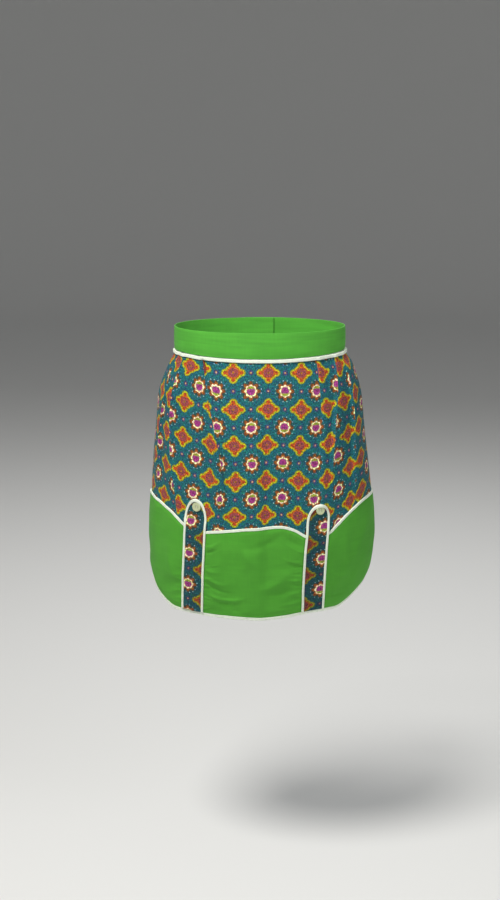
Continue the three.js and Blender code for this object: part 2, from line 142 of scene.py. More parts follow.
for fold in folds:
    fold["inward"] = 1.0 if fold["crest"][0] < 0 else -1.0  # direction of the front centre
    fold["line"] = {k: smoothLine(foldDrops, fold[k])
                    for k in ("crest", "inner", "outer", "high", "cut", "ease", "slack")}

# Faint waves all over the cloth, and the open mouth of the left tuck, under the waist piping
clothWaves = {"high": 0.45, "slant": 0.3, "pitch": 71.0, "fullAt": 60.0}
tuckMouth = {"beside": 4.2, "width": 1.5, "depth": 6.0, "from": -4.0, "opens": 6.0, "to": 30.0,
             "closes": 14.0}


# Height of the folds: faint waves that grow below the seam, a raised cosine at each crest, narrow
# towards the front centre and wide away from it, and a bell sunk beside the left crest for the mouth.
def foldHeight(across, drop):
    w, m = clothWaves, tuckMouth
    high = w["high"] * waver(across + w["slant"] * drop, w["pitch"]) * smoothStep(drop / w["fullAt"])
    for fold in folds:
        line = fold["line"]
        away = across - line["crest"](drop)
        flank = np.where(away * fold["inward"] > 0, line["inner"](drop), line["outer"](drop))
        high = high + line["high"](drop) * hump(away / flank)
    beside = across - folds[0]["line"]["crest"](drop) - m["beside"]
    span = smoothStep((drop - m["from"]) / m["opens"]) * smoothStep((m["to"] - drop) / m["closes"])
    return high - m["depth"] * span * np.exp(-((beside / m["width"]) ** 2))


# Cloth length from the front centre for a place across the front: the same number near the centre,
# and stretched in proportion beyond stretchFrom so that stretchTo falls on its own length.
def arcOf(across, drop):
    start, edge = wornForm["stretchFrom"], wornForm["stretchTo"]
    side = np.where(across < 0, formLine["leftArc"](drop), formLine["rightArc"](drop))
    size = np.abs(across)
    stretched = start + (size - start) * (side - start) / (edge - start)
    return np.sign(across) * np.where(size <= start, size, stretched)


# The inverse of arcOf
def acrossOf(arc, drop):
    start, edge = wornForm["stretchFrom"], wornForm["stretchTo"]
    side = np.where(arc < 0, formLine["leftArc"](drop), formLine["rightArc"](drop))
    size = np.abs(arc)
    shrunk = start + (size - start) * (edge - start) / (side - start)
    return np.sign(arc) * np.where(size <= start, size, shrunk)


# Angle round the oval whose curve length from the front centre is arc: Newton steps on Simpson's rule
def angleAt(arc, half, depth, steps=16, rounds=7):
    size = np.abs(arc)
    angle = size / depth
    weights = np.array([1] + [4, 2] * (steps // 2 - 1) + [4, 1]) / (3.0 * steps)
    for _ in range(rounds):
        length = 0
        for k, w in enumerate(weights):
            a = angle * k / steps
            length = length + w * np.hypot(half * np.cos(a), depth * np.sin(a))
        length = length * angle
        angle = angle + (size - length) / np.hypot(half * np.cos(angle), depth * np.sin(angle))
    return np.sign(arc) * angle


# A point of the worn cloth: along the oval of its row by arc, down by drop, and out along the oval's
# normal by the lift of its layer and the height of the folds.
def clothPoint(arc, drop, lift, folded=True):
    arc, drop, lift = np.broadcast_arrays(*(np.asarray(v, float) for v in (arc, drop, lift)))
    half = np.where(arc < 0, formLine["left"](drop), formLine["right"](drop))
    depth, front = formLine["depth"](drop), formLine["front"](drop)
    angle = angleAt(arc, half, depth)
    sinA, cosA = np.sin(angle), np.cos(angle)
    out = lift + (foldHeight(acrossOf(arc, drop), drop) if folded else 0)
    nx, ny = depth * sinA, -half * cosA
    size = np.hypot(nx, ny)
    x = formLine["shift"](drop) + half * sinA + out * nx / size
    y = depth - front - depth * cosA + out * ny / size
    z = wornForm["seam"] + wornForm["sideRise"] * sinA ** 2 - drop
    return np.stack([x, y, z], -1)


# Edges of the cloth

# Drop of the hem, and of the border's top edge, at places across the front
hemTable = {
    "across": [-193, -190, -184, -175, -163.5, -156, -148, -141, -133, -112, -81, -52, -4, 16, 38.5, 65,
               92, 113, 130.5, 139, 149, 156, 164, 170, 176, 183.5, 190, 196, 201, 206, 210, 212],
    "drop": [338, 364, 388, 405, 418.5, 425.2, 430.8, 433.6, 434, 435, 435.6, 436.2, 437.4, 436.3, 433.8,
             430.9, 429.4, 430.2, 431.6, 429.3, 423.4, 418, 412, 408, 404.8, 400.5, 395.5, 389, 380.5, 366,
             345, 322],
}
borderTable = {
    "across": [-193, -180, -166, -149, -140.8, -133.5, -126.8, -113, -96, -79, -50, -20, -4, 12, 22, 31, 39,
               46, 57.5, 70.5, 90, 113.5, 120.5, 125, 131, 138, 145, 154, 165, 180, 193, 212],
    "drop": [247, 246.8, 249.2, 256.6, 261.5, 269.3, 278, 289.5, 286.7, 283.5, 279.6, 275.2, 273.4, 272.6,
             272.0, 272.2, 273.8, 276.0, 281.2, 290, 299, 289, 280.3, 275, 268, 261.3, 255.5, 249.9, 246.8,
             245.8, 246.5, 246.5],
}
hemDrop = smoothLine(hemTable["across"], hemTable["drop"])
borderDrop = smoothLine(borderTable["across"], borderTable["drop"])

# Thickness of the cloth, and how far the middle of each layer lies outside the worn form
layers = {"clothThick": 0.7, "skirt": 0.6, "border": 2.2, "tabLow": 3.9, "tabHead": 1.95, "tabRamp": 22.0,
          "tabClear": 3.0}


# Lift of a tab: low at its head, on the skirt, and an even S up to the lift over the border and its
# piping, which ends tabClear above the border's edge
def tabLift(arc, drop):
    ramp, clear = layers["tabRamp"], layers["tabClear"]
    edge = borderDrop(acrossOf(arc, drop)) - clear
    rise = smoothStep((drop - edge + ramp) / (ramp - clear))
    return layers["tabHead"] + (layers["tabLow"] - layers["tabHead"]) * rise


# Mesh helpers

# Quads of a grid of rows and columns, counter-clockwise seen from the outside of the apron
def gridQuads(rows, cols, start=0):
    i = np.arange(rows - 1)[:, None] * cols + np.arange(cols - 1)[None, :] + start
    return np.stack([i, i + cols, i + cols + 1, i + 1], -1).reshape(-1, 4)


# Quads of a stack of closed rings
def ringQuads(rows, sides):
    start = np.arange(rows - 1)[:, None] * sides
    i, j = start + np.arange(sides), start + (np.arange(sides) + 1) % sides
    return np.stack([i, i + sides, j + sides, j], -1).reshape(-1, 4)


# One mesh object from points, sets of equal-sided faces, a texture place for each face corner, and any
# material numbers of the faces and values stored on the points
def makePiece(name, points, faceSets, cornerSets, materials, materialSets=None, extras=None):
    mesh = bpy.data.meshes.new(name)
    corners = np.concatenate([f.ravel() for f in faceSets]).astype(np.int32)
    counts = np.concatenate([np.full(len(f), f.shape[1]) for f in faceSets])
    starts = np.concatenate([[0], np.cumsum(counts)[:-1]]).astype(np.int32)
    mesh.vertices.add(len(points))
    mesh.vertices.foreach_set("co", (points * mm).astype(np.float32).ravel())
    mesh.loops.add(len(corners))
    mesh.loops.foreach_set("vertex_index", corners)
    mesh.polygons.add(len(starts))
    mesh.polygons.foreach_set("loop_start", starts)
    mesh.polygons.foreach_set("use_smooth", np.ones(len(starts), bool))
    if materialSets:
        mesh.polygons.foreach_set("material_index", np.concatenate(materialSets).astype(np.int32))
    cloth = mesh.uv_layers.new(name="cloth")
    uv = np.concatenate([c.reshape(-1, 2) for c in cornerSets]) * mm
    cloth.uv.foreach_set("vector", uv.astype(np.float32).ravel())
    for key, values in (extras or {}).items():
        stored = mesh.attributes.new(key, "FLOAT", "POINT")
        stored.data.foreach_set("value", values.astype(np.float32).ravel())
    for material in materials:
        mesh.materials.append(material)
    mesh.update(calc_edges=True)
    mesh.validate()
    piece = bpy.data.objects.new(name, mesh)
    bpy.context.scene.collection.objects.link(piece)
    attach(piece, "root")
    return piece


# A cloth with two faces and a rim: an outer and an inner grid joined round their edge. shift adds to
# the texture place of whole faces, where a tuck hides cloth.
def makeCloth(name, outer, inner, uv, materials, shift=None):
    rows, cols = outer.shape[:2]
    count = rows * cols
    front = gridQuads(rows, cols)
    back = gridQuads(rows, cols, count)[:, ::-1]
    edge = np.concatenate([
        np.arange(rows - 1) * cols, (rows - 1) * cols + np.arange(cols - 1),
        (np.arange(rows - 1, 0, -1) + 1) * cols - 1, np.arange(cols - 1, 0, -1)])
    after = np.roll(edge, -1)
    rim = np.stack([after, edge, edge + count, after + count], -1)
    flat = uv.reshape(-1, 2)
    places = np.concatenate([flat, flat])
    frontUv, backUv = places[front], places[back]
    if shift is not None:
        frontUv = frontUv + shift
        backUv = backUv + shift[:, ::-1]
    points = np.concatenate([outer.reshape(-1, 3), inner.reshape(-1, 3)])
    lining = 1 if len(materials) > 1 else 0
    kinds = [np.zeros(len(front)), np.full(len(back), lining), np.full(len(rim), lining)]
    return makePiece(name, points, [front, back, rim], [frontUv, backUv, places[rim]], materials, kinds)


# A round or flattened roll: a closed section at each station of a path, joined along the path and
# closed by a fan at each end. along and around give the texture place in millimetres.
def makeRoll(name, rings, along, around, materials):
    stations, sides = rings.shape[:2]
    quads = ringQuads(stations, sides)
    u = np.broadcast_to(along[:, None], (stations, sides))
    v = np.concatenate([around, [around[-1] + np.diff(around)[-1]]])
    uQuad = np.stack([u[:-1], u[1:], u[1:], u[:-1]], -1).reshape(-1, 4)
    vQuad = np.stack([v[:-1], v[:-1], v[1:], v[1:]], -1)
    vQuad = np.broadcast_to(vQuad[None], (stations - 1, sides, 4)).reshape(-1, 4)
    count, last = stations * sides, (stations - 1) * sides
    points = np.concatenate([rings.reshape(-1, 3), rings[:1].mean(1), rings[-1:].mean(1)])
    ring = np.arange(sides)
    turned = (ring + 1) % sides
    capA = np.stack([ring, turned, np.full(sides, count)], -1)
    capB = np.stack([last + turned, last + ring, np.full(sides, count + 1)], -1)
    capUv = np.zeros((sides, 3, 2))
    faces = [quads, capA, capB]
    corners = [np.stack([uQuad, vQuad], -1), capUv, capUv]
    a, b, c, d = (points[quads[:, k]] for k in range(4))
    volume = np.einsum("ij,ij->", a, np.cross(b, c) + np.cross(c, d))
    if volume < 0:  # the path ran the other way round, so every face is turned over
        faces = [face[:, ::-1] for face in faces]
        corners = [corner[:, ::-1] for corner in corners]
    return makePiece(name, points, faces, corners, materials)


# A rounded flat section, 2 wide and 2 high: the cosine and sine of the turn, each raised to a power
# below 1, which fills out the corners
def flatSection(sides, power):
    a = 2 * np.pi * np.arange(sides) / sides
    c, s = np.cos(a), np.sin(a)
    return np.sign(c) * np.abs(c) ** power, np.sign(s) * np.abs(s) ** power


# Evenly spaced points along a broken line
def evenPath(path, step):
    length = np.concatenate([[0], np.cumsum(np.linalg.norm(np.diff(path, axis=0), axis=1))])
    count = max(3, int(round(length[-1] / step)) + 1)
    places = np.linspace(0, length[-1], count)
    return np.stack([np.interp(places, length, path[:, k]) for k in range(path.shape[1])], -1), places


# Unit normals of a path in the flat of the cloth, to the left of its direction
def pathNormals(path):
    along = np.gradient(path, axis=0)
    along = along / np.linalg.norm(along, axis=1, keepdims=True)
    return np.stack([along[:, 1], -along[:, 0]], -1)


# Material helpers

# A colour given as the eye sees it, 0 to 255, as light values
def ink(r, g, b):
    c = np.array([r, g, b], float) / 255
    light = np.where(c <= 0.04045, c / 12.92, ((c + 0.055) / 1.055) ** 2.4)
    return (*[float(v) for v in light], 1.0)


# Short ways to add nodes to one tree: sums for Math nodes, blends for colour mixes
class NodeDesk:
    def __init__(self, tree):
        self.tree = tree

    def add(self, kind, **values):
        node = self.tree.nodes.new(kind)
        for key, value in values.items():
            setattr(node, key, value)
        return node

    def feed(self, socket, value):
        if isinstance(value, bpy.types.NodeSocket):
            self.tree.links.new(value, socket)
        else:
            socket.default_value = value

    def sum(self, operation, *values, clamp=False):
        node = self.add("ShaderNodeMath", operation=operation, use_clamp=clamp)
        for socket, value in zip(node.inputs, values):
            self.feed(socket, value)
        return node.outputs[0]

    def length(self, x, y):
        return self.sum("SQRT", self.sum("ADD", self.sum("MULTIPLY", x, x), self.sum("MULTIPLY", y, y)))

    def least(self, *values):
        result = values[0]
        for value in values[1:]:
            result = self.sum("MINIMUM", result, value)
        return result

    # 1 where the distance is below 0, 0 above, with a soft edge
    def inside(self, distance, soft):
        return self.sum("SUBTRACT", 0.5, self.sum("DIVIDE", distance, soft), clamp=True)

    def blend(self, amount, under, over, mode="MIX"):
        node = self.add("ShaderNodeMix", data_type="RGBA", blend_type=mode)
        self.feed(node.inputs["Factor"], amount)
        self.feed(node.inputs["A"], under)
        self.feed(node.inputs["B"], over)
        return node.outputs["Result"]

    def noise(self, vector, scale, detail=2.0, roughness=0.5):
        node = self.add("ShaderNodeTexNoise")
        self.feed(node.inputs["Vector"], vector)
        node.inputs["Scale"].default_value = scale
        node.inputs["Detail"].default_value = detail
        node.inputs["Roughness"].default_value = roughness
        return node.outputs["Fac"]

    def colourNoise(self, vector, scale):
        node = self.add("ShaderNodeTexNoise")
        self.feed(node.inputs["Vector"], vector)
        node.inputs["Scale"].default_value = scale
        node.inputs["Detail"].default_value = 1.0
        return node.outputs["Color"]

    def stretch(self, vector, x, y):
        node = self.add("ShaderNodeMapping")
        self.feed(node.inputs["Vector"], vector)
        node.inputs["Scale"].default_value = (x, y, 1)
        return node.outputs["Vector"]

    def vectorSum(self, operation, *values):
        node = self.add("ShaderNodeVectorMath", operation=operation)
        for socket, value in zip(node.inputs, values):
            self.feed(socket, value)
        return node.outputs[0]

    # a colour or vector times one number
    def scaled(self, vector, amount):
        node = self.add("ShaderNodeVectorMath", operation="SCALE")
        self.feed(node.inputs[0], vector)
        self.feed(node.inputs["Scale"], amount)
        return node.outputs[0]


# An empty shader node group with named sockets, and its input and output nodes
def makeGroup(name, inputs, outputs):
    tree = bpy.data.node_groups.new(name, "ShaderNodeTree")
    for key, kind, value in inputs:
        socket = tree.interface.new_socket(name=key, in_out="INPUT", socket_type=kind)
        if value is not None:
            socket.default_value = value
    for key, kind in outputs:
        tree.interface.new_socket(name=key, in_out="OUTPUT", socket_type=kind)
    desk = NodeDesk(tree)
    return tree, desk, desk.add("NodeGroupInput").outputs, desk.add("NodeGroupOutput").inputs


weaveForm = {"streakFine": 900, "streakLong": 26, "patch": 34.0, "threadHigh": 0.25, "streakHigh": 0.6}


# Plain weave: crossed threads over and under each other for the height, and long thin streaks both
# ways, where some threads are thicker or paler, for the tone
def makeWeaveGroup():
    tree, desk, given, made = makeGroup(
        "plainWeave",
        [("Cloth", "NodeSocketVector", None), ("Threads", "NodeSocketFloat", 1100.0),
         ("Streaks", "NodeSocketFloat", 0.12), ("Patches", "NodeSocketFloat", 0.1)],
        [("Height", "NodeSocketFloat"), ("Tone", "NodeSocketFloat")])
    place = desk.add("ShaderNodeSeparateXYZ")
    desk.feed(place.inputs[0], given["Cloth"])
    turn = desk.sum("MULTIPLY", given["Threads"], 2 * np.pi)
    across = desk.sum("SINE", desk.sum("MULTIPLY", place.outputs["X"], turn))
    down = desk.sum("SINE", desk.sum("MULTIPLY", place.outputs["Y"], turn))
    checker = desk.sum("MULTIPLY", across, down)
    fine, long = weaveForm["streakFine"], weaveForm["streakLong"]
    warp = desk.noise(desk.stretch(given["Cloth"], fine, long), 1.0)
    weft = desk.noise(desk.stretch(given["Cloth"], long, fine), 1.0)
    patch = desk.noise(given["Cloth"], weaveForm["patch"], detail=3.0)
    streak = desk.sum("SUBTRACT", desk.sum("ADD", warp, weft), 1.0)
    tone = desk.sum("ADD", 1.0, desk.sum("MULTIPLY", streak, given["Streaks"]))
    tone = desk.sum("ADD", tone, desk.sum("MULTIPLY", desk.sum("SUBTRACT", patch, 0.5), given["Patches"]))
    streakHigh = desk.sum("MULTIPLY", streak, weaveForm["streakHigh"])
    thread = desk.sum("MULTIPLY_ADD", checker, weaveForm["threadHigh"], streakHigh)
    desk.feed(made["Height"], desk.sum("ADD", thread, 0.5))
    desk.feed(made["Tone"], tone)
    return tree


printInks = {
    "ground": ink(11, 117, 109), "groundDeep": ink(7, 67, 102), "outline": ink(186, 177, 8),
    "outlineDeep": ink(106, 126, 12), "fill": ink(184, 87, 8), "lobeDot": ink(180, 66, 8),
    "heart": ink(140, 56, 84), "heartRing": ink(150, 74, 32), "heartMiddle": ink(162, 102, 10),
    "flower": ink(158, 52, 128), "flowerDeep": ink(134, 36, 108), "ring": ink(252, 240, 192),
    "ringInner": ink(214, 202, 136), "ringShade": ink(146, 158, 30), "petal": ink(158, 85, 8),
    "petalTip": ink(116, 62, 10), "petalGap": ink(46, 50, 20),
    "bead": ink(160, 196, 202), "speck": ink(210, 158, 104), "halo": ink(70, 44, 108),
}
printSizes = {  # millimetres
    "wide": 59.0, "high": 60.0, "wobble": 0.6, "soft": 0.8, "softer": 1.0, "softest": 1.2,
    "speck": 1.5, "halo": 4.1, "haloSoft": 2.2,
    "lobeAt": 11.7, "lobe": 6.5, "side": 18.5, "step": 13.0, "stepDeep": 0.5, "lobeDot": 2.0,
    "outline": 3.2, "outlineDeep": 1.0, "outlineSoft": 1.6,
    "heart": 7.2, "heartRing": 4.7, "heartRingHalf": 0.7, "heartMiddle": 2.2,
    "petalAt": 11.2, "petalLong": 5.2, "petalHalf": 3.6, "petalTip": 11.6,
    "petalGap": 15.6, "petalGapSoft": 3.0,
    "ring": 9.8, "ringScallop": 0.8, "ringInner": 8.0, "ringInnerSoft": 1.6,
    "disc": 7.0, "discDeep": 2.4, "discSoft": 4.0, "crescent": 8.0, "crescentFrom": 2.6,
    "beadAt": 17.5, "bead": 0.8, "beadSoft": 0.6,
}
printShares = {  # strengths, slopes and ratios
    "narrow": 0.86, "ground": 1.8, "halo": 0.8, "petalTaper": 0.5, "petalTip": 0.28, "petalGap": 0.7,
    "crescent": 0.42, "grain": 1.6, "darkest": 0.2, "tint": 0.65,
}
printNoise = {"wobble": 420.0, "ground": 160.0, "threadsAcross": 500, "threadsDown": 380, "tint": 0.8}


# The foulard print on a half-drop lattice. Cell places are the cloth place divided by the cell, less
# the nearest whole number. A four-lobed diamond sits on the whole places: the least distance to four
# round lobes on the axes and to a body whose sides, where |x| + |y| is constant, wave in small steps.
# A flower sits on the half places: a disc, a crescent that lies under it in odd columns and over it in
# even ones, a ring whose radius waves eight times round, eight tapering petals and sixteen beads.
# Specks with a halo sit midway between, and a fine grain varies it all.
def makePrintGroup():
    p, s, c = printSizes, printShares, printInks
    tree, desk, given, made = makeGroup(
        "foulardPrint", [("Cloth", "NodeSocketVector", None), ("Depth", "NodeSocketFloat", 1.0)],
        [("Colour", "NodeSocketColor"), ("Ink", "NodeSocketFloat")])
    calc, soft, cloth = desk.sum, p["soft"], given["Cloth"]
    shaky = desk.colourNoise(cloth, printNoise["wobble"])
    place = desk.add("ShaderNodeSeparateXYZ")
    wobble = (2 * p["wobble"],) * 3
    desk.feed(place.inputs[0], desk.vectorSum("MULTIPLY_ADD", shaky, wobble, desk.scaled(cloth, 1 / mm)))

    # place from the middle of a cell, and the number of the cell
    def cell(axis, size, start):
        whole = calc("DIVIDE", calc("SUBTRACT", place.outputs[axis], p["wobble"]), size)
        shifted = calc("SUBTRACT", whole, start)
        number = calc("ROUND", shifted)
        return calc("MULTIPLY", calc("SUBTRACT", shifted, number), size), number

    # 1 where a distance is less than a size
    def within(distance, size, softness):
        return desk.inside(calc("SUBTRACT", distance, size), softness)

    # a colour with an ink over it where a distance is less than a size
    def inked(under, name, distance, size, softness):
        return desk.blend(within(distance, size, softness), under, c[name])

    (x, _), (y, _) = cell("X", p["wide"], 0.0), cell("Y", p["high"], 0.0)
    (fx, column), (fy, _) = cell("X", p["wide"], 0.5), cell("Y", p["high"], 0.5)

    # ground
    mottle = desk.noise(cloth, printNoise["ground"], detail=3.0, roughness=0.6)
    patchy = calc("MULTIPLY_ADD", calc("SUBTRACT", mottle, 0.5), s["ground"], 0.5, clamp=True)
    colour = desk.blend(patchy, c["groundDeep"], c["ground"])

    # specks
    near = desk.least(desk.length(fx, y), desk.length(x, fy))
    halo = calc("MULTIPLY", within(near, p["halo"], p["haloSoft"]), s["halo"])
    colour = desk.blend(halo, colour, c["halo"])
    colour = inked(colour, "speck", near, p["speck"], p["softest"])

    # diamond
    ax, ay = calc("MULTIPLY", calc("ABSOLUTE", x), s["narrow"]), calc("ABSOLUTE", y)
    r = desk.length(ax, ay)
    lobeNear = desk.least(desk.length(calc("SUBTRACT", ax, p["lobeAt"]), ay),
                          desk.length(ax, calc("SUBTRACT", ay, p["lobeAt"])))
    wave = calc("COSINE", calc("MULTIPLY", calc("SUBTRACT", ax, ay), 2 * np.pi / p["step"]))
    edge = calc("MULTIPLY_ADD", wave, p["stepDeep"], p["side"])
    body = calc("MULTIPLY", calc("SUBTRACT", calc("ADD", ax, ay), edge), np.sqrt(0.5))
    shape = desk.least(body, calc("SUBTRACT", lobeNear, p["lobe"]))
    diamond = desk.inside(shape, soft)
    outline = inked(c["outlineDeep"], "outline", shape, -p["outlineDeep"], p["outlineSoft"])
    colour = desk.blend(diamond, colour, outline)
    colour = inked(colour, "fill", shape, -p["outline"], p["softer"])
    colour = inked(colour, "lobeDot", lobeNear, p["lobeDot"], p["softer"])
    colour = inked(colour, "heart", r, p["heart"], p["softest"])
    ringNear = calc("ABSOLUTE", calc("SUBTRACT", r, p["heartRing"]))
    colour = inked(colour, "heartRing", ringNear, p["heartRingHalf"], p["softer"])
    colour = inked(colour, "heartMiddle", r, p["heartMiddle"], p["softest"])
    # painted shade: the group's darkening input scales the ground, the specks and the diamonds
    colour = desk.scaled(colour, given["Depth"])

    # petals
    fr = desk.length(fx, fy)
    turn = calc("ARCTAN2", fy, fx)
    eighth = calc("DIVIDE", turn, np.pi / 4)
    gap = calc("ABSOLUTE", calc("SUBTRACT", eighth, calc("ROUND", eighth)))  # 0 on a petal, 0.5 between
    sideways = calc("MULTIPLY", calc("MULTIPLY", gap, fr), np.pi / 4)
    outward = calc("DIVIDE", calc("SUBTRACT", fr, p["petalAt"]), p["petalLong"])
    petalWide = calc("MULTIPLY_ADD", outward, -s["petalTaper"] * p["petalHalf"], p["petalHalf"])
    petalEnd = calc("SUBTRACT", fr, p["petalAt"] + p["petalLong"])
    petal = desk.inside(calc("MAXIMUM", calc("SUBTRACT", sideways, petalWide), petalEnd), p["softer"])
    tip = calc("MULTIPLY", calc("SUBTRACT", fr, p["petalTip"]), s["petalTip"], clamp=True)
    between = calc("MULTIPLY", within(fr, p["petalGap"], p["petalGapSoft"]), s["petalGap"])
    colour = desk.blend(between, colour, c["petalGap"])
    colour = desk.blend(petal, colour, desk.blend(tip, c["petal"], c["petalTip"]))

    # ring, disc, crescent and beads
    scallop = calc("MULTIPLY", calc("COSINE", calc("MULTIPLY", turn, 8.0)), p["ringScallop"])
    ring = within(fr, calc("ADD", p["ring"], scallop), soft)
    colour = desk.blend(ring, colour, inked(c["ring"], "ringInner", fr, p["ringInner"], p["ringInnerSoft"]))
    discInk = inked(c["flower"], "flowerDeep", fr, p["discDeep"], p["discSoft"])
    colour = desk.blend(within(fr, p["disc"], soft), colour, discInk)
    odd = calc("MULTIPLY", calc("COSINE", calc("MULTIPLY", column, np.pi)), -1.0)  # 1 or -1
    lowSide = calc("SUBTRACT", calc("MULTIPLY", fy, odd), p["crescentFrom"])
    lowSide = calc("MULTIPLY", lowSide, s["crescent"], clamp=True)
    crescent = calc("MULTIPLY", within(fr, p["crescent"], p["softest"]), lowSide)
    colour = desk.blend(crescent, colour, c["ringShade"])
    sixteenth = calc("ADD", calc("DIVIDE", turn, np.pi / 8), 0.5)
    bead = calc("MULTIPLY", calc("SUBTRACT", sixteenth, calc("ROUND", sixteenth)), p["beadAt"] * np.pi / 8)
    beadNear = desk.length(calc("SUBTRACT", fr, p["beadAt"]), bead)
    colour = inked(colour, "bead", beadNear, p["bead"], p["beadSoft"])

    # grain: darker and paler threads, and a little of each colour on its own
    threads = desk.stretch(cloth, printNoise["threadsAcross"], printNoise["threadsDown"])
    grain = calc("SUBTRACT", desk.noise(threads, 1.0, detail=1.0), 0.5)
    shade = calc("MAXIMUM", calc("MULTIPLY_ADD", grain, 2 * s["grain"], 1.0), s["darkest"])
    tint = desk.vectorSum("MULTIPLY_ADD", desk.colourNoise(threads, printNoise["tint"]),
                          (2 * s["tint"],) * 3, (1 - s["tint"],) * 3)
    desk.feed(made["Colour"], desk.vectorSum("MULTIPLY", desk.scaled(colour, shade), tint))
    desk.feed(made["Ink"], desk.least(1.0, calc("ADD", diamond, calc("ADD", petal, ring))))
    return tree


weaveGroup = makeWeaveGroup()
printGroup = makePrintGroup()


# A bare material: its Principled shader and the piece's cloth map
def bareMaterial(name):
    material = bpy.data.materials.new(name)
    material.use_nodes = True
    tree = material.node_tree
    tree.nodes.clear()
    desk = NodeDesk(tree)
    shader = desk.add("ShaderNodeBsdfPrincipled")
    tree.links.new(shader.outputs[0], desk.add("ShaderNodeOutputMaterial").inputs[0])
    return material, desk, shader, desk.add("ShaderNodeUVMap", uv_map="cloth").outputs[0]


def addRelief(desk, shader, height, look):
    relief = desk.add("ShaderNodeBump")
    relief.inputs["Strength"].default_value = look["bump"]
    relief.inputs["Distance"].default_value = look["deep"]
    desk.feed(relief.inputs["Height"], height)
    desk.feed(shader.inputs["Normal"], relief.outputs[0])


# A bare material with one placed weave: threads a metre, streaks and patches in its tone, and relief
def clothMaterial(name, look):
    material, desk, shader, clothMap = bareMaterial(name)
    weave = desk.add("ShaderNodeGroup", node_tree=weaveGroup)
    desk.feed(weave.inputs["Cloth"], clothMap)
    weave.inputs["Threads"].default_value = look["threads"]
    weave.inputs["Streaks"].default_value = look["streaks"]
    weave.inputs["Patches"].default_value = look["patches"]
    addRelief(desk, shader, weave.outputs["Height"], look)
    return material, desk, shader, clothMap, weave


# Multiplies a colour by the weave's tone
def toned(desk, colour, tone):
    grey = desk.add("ShaderNodeCombineColor")
    for socket in grey.inputs:
        desk.feed(socket, tone)
    return desk.blend(1.0, colour, grey.outputs[0], "MULTIPLY")


greenLook = {"threads": 1150.0, "streaks": 0.2, "patches": 0.16, "bump": 0.35, "deep": 0.0003, "cloud": 0.7,
             "cloudAcross": 9, "cloudDown": 30, "lineAcross": 11, "lineDown": 140, "roughSpan": 0.08}
bandLook = {"colour": ink(73, 165, 45), "pale": ink(93, 185, 61), "streak": 0.26, "rough": 0.84,
            "sheen": 0.03}
# The border's green is darker than the band's: painted shade for the border panel, low on the apron and
# facing a little downward, away from the light. Its weaker streaks are the cloth's own.
borderShadedLook = {"colour": ink(70, 156, 36), "pale": ink(88, 175, 50), "streak": 0.05, "rough": 0.86,
              "sheen": 0.02}
printLook = {"threads": 1250.0, "streaks": 0.26, "patches": 0.14, "bump": 0.35, "deep": 0.0003, "rough": 0.86,
             "inkRough": -0.05, "sheen": 0.02, "backPale": ink(150, 172, 176), "backFade": 0.62}
# The piping's shade colour, mixed in by the crease noise, is painted shade for small creases that have no
# relief.
pipingLook = {"threads": 1000.0, "streaks": 0.16, "patches": 0.08, "bump": 0.4, "deep": 0.0003,
              "colour": ink(247, 255, 242), "shade": ink(230, 240, 216), "crease": 0.8, "creaseAlong": 260,
              "creaseRound": 60, "rough": 0.8, "roughSpan": 0.1, "sheen": 0.08}
# The button's hole colour is painted shade for the insides of the holes.
buttonLook = {"colour": ink(206, 214, 172), "vein": ink(168, 178, 128), "hole": ink(60, 58, 40),
              "cloud": 420.0, "rings": 3600.0, "wavy": 7.0, "rough": 0.34, "roughSpan": 0.15, "bump": 0.25,
              "deep": 0.0003}
threadLook = {"threads": 2600.0, "streaks": 0.2, "patches": 0.1, "bump": 0.5, "deep": 0.0002,
              "colour": ink(232, 228, 206), "shade": ink(230, 240, 216), "twistAlong": 900, "twistRound": 300,
              "rough": 0.7}


# Green cotton, with faint lines that run along the cloth
def makeGreen(name, look):
    g = greenLook
    material, desk, shader, clothMap, weave = clothMaterial(name, g)
    cloud = desk.noise(desk.stretch(clothMap, g["cloudAcross"], g["cloudDown"]), 1.0, detail=3.0)
    colour = desk.blend(desk.sum("MULTIPLY", cloud, g["cloud"]), look["colour"], look["pale"])
    lines = desk.noise(desk.stretch(clothMap, g["lineAcross"], g["lineDown"]), 1.0)
    lines = desk.sum("SUBTRACT", lines, 0.5)
    tone = desk.sum("MULTIPLY_ADD", lines, 2 * look["streak"], weave.outputs["Tone"])
    desk.feed(shader.inputs["Base Color"], toned(desk, colour, tone))
    smoothest = look["rough"] - g["roughSpan"] / 2
    rough = desk.sum("MULTIPLY_ADD", weave.outputs["Height"], g["roughSpan"], smoothest)
    desk.feed(shader.inputs["Roughness"], rough)
    shader.inputs["Sheen Weight"].default_value = look["sheen"]
    return material


# Printed cotton. A depth below 1 is painted shade: it darkens the ground, the specks and the diamonds, for
# darker copies of the print on the tabs. The wrong side is faded, because the ink only just comes through.
def makePrint(name, depth=1.0, faded=False):
    material, desk, shader, clothMap, weave = clothMaterial(name, printLook)
    group = desk.add("ShaderNodeGroup", node_tree=printGroup)
    desk.feed(group.inputs["Cloth"], clothMap)
    group.inputs["Depth"].default_value = depth
    colour = group.outputs["Colour"]
    if faded:
        colour = desk.blend(printLook["backFade"], colour, printLook["backPale"])
    desk.feed(shader.inputs["Base Color"], toned(desk, colour, weave.outputs["Tone"]))
    rough = desk.sum("MULTIPLY_ADD", group.outputs["Ink"], printLook["inkRough"], printLook["rough"])
    desk.feed(shader.inputs["Roughness"], rough)
    shader.inputs["Sheen Weight"].default_value = printLook["sheen"]
    return material


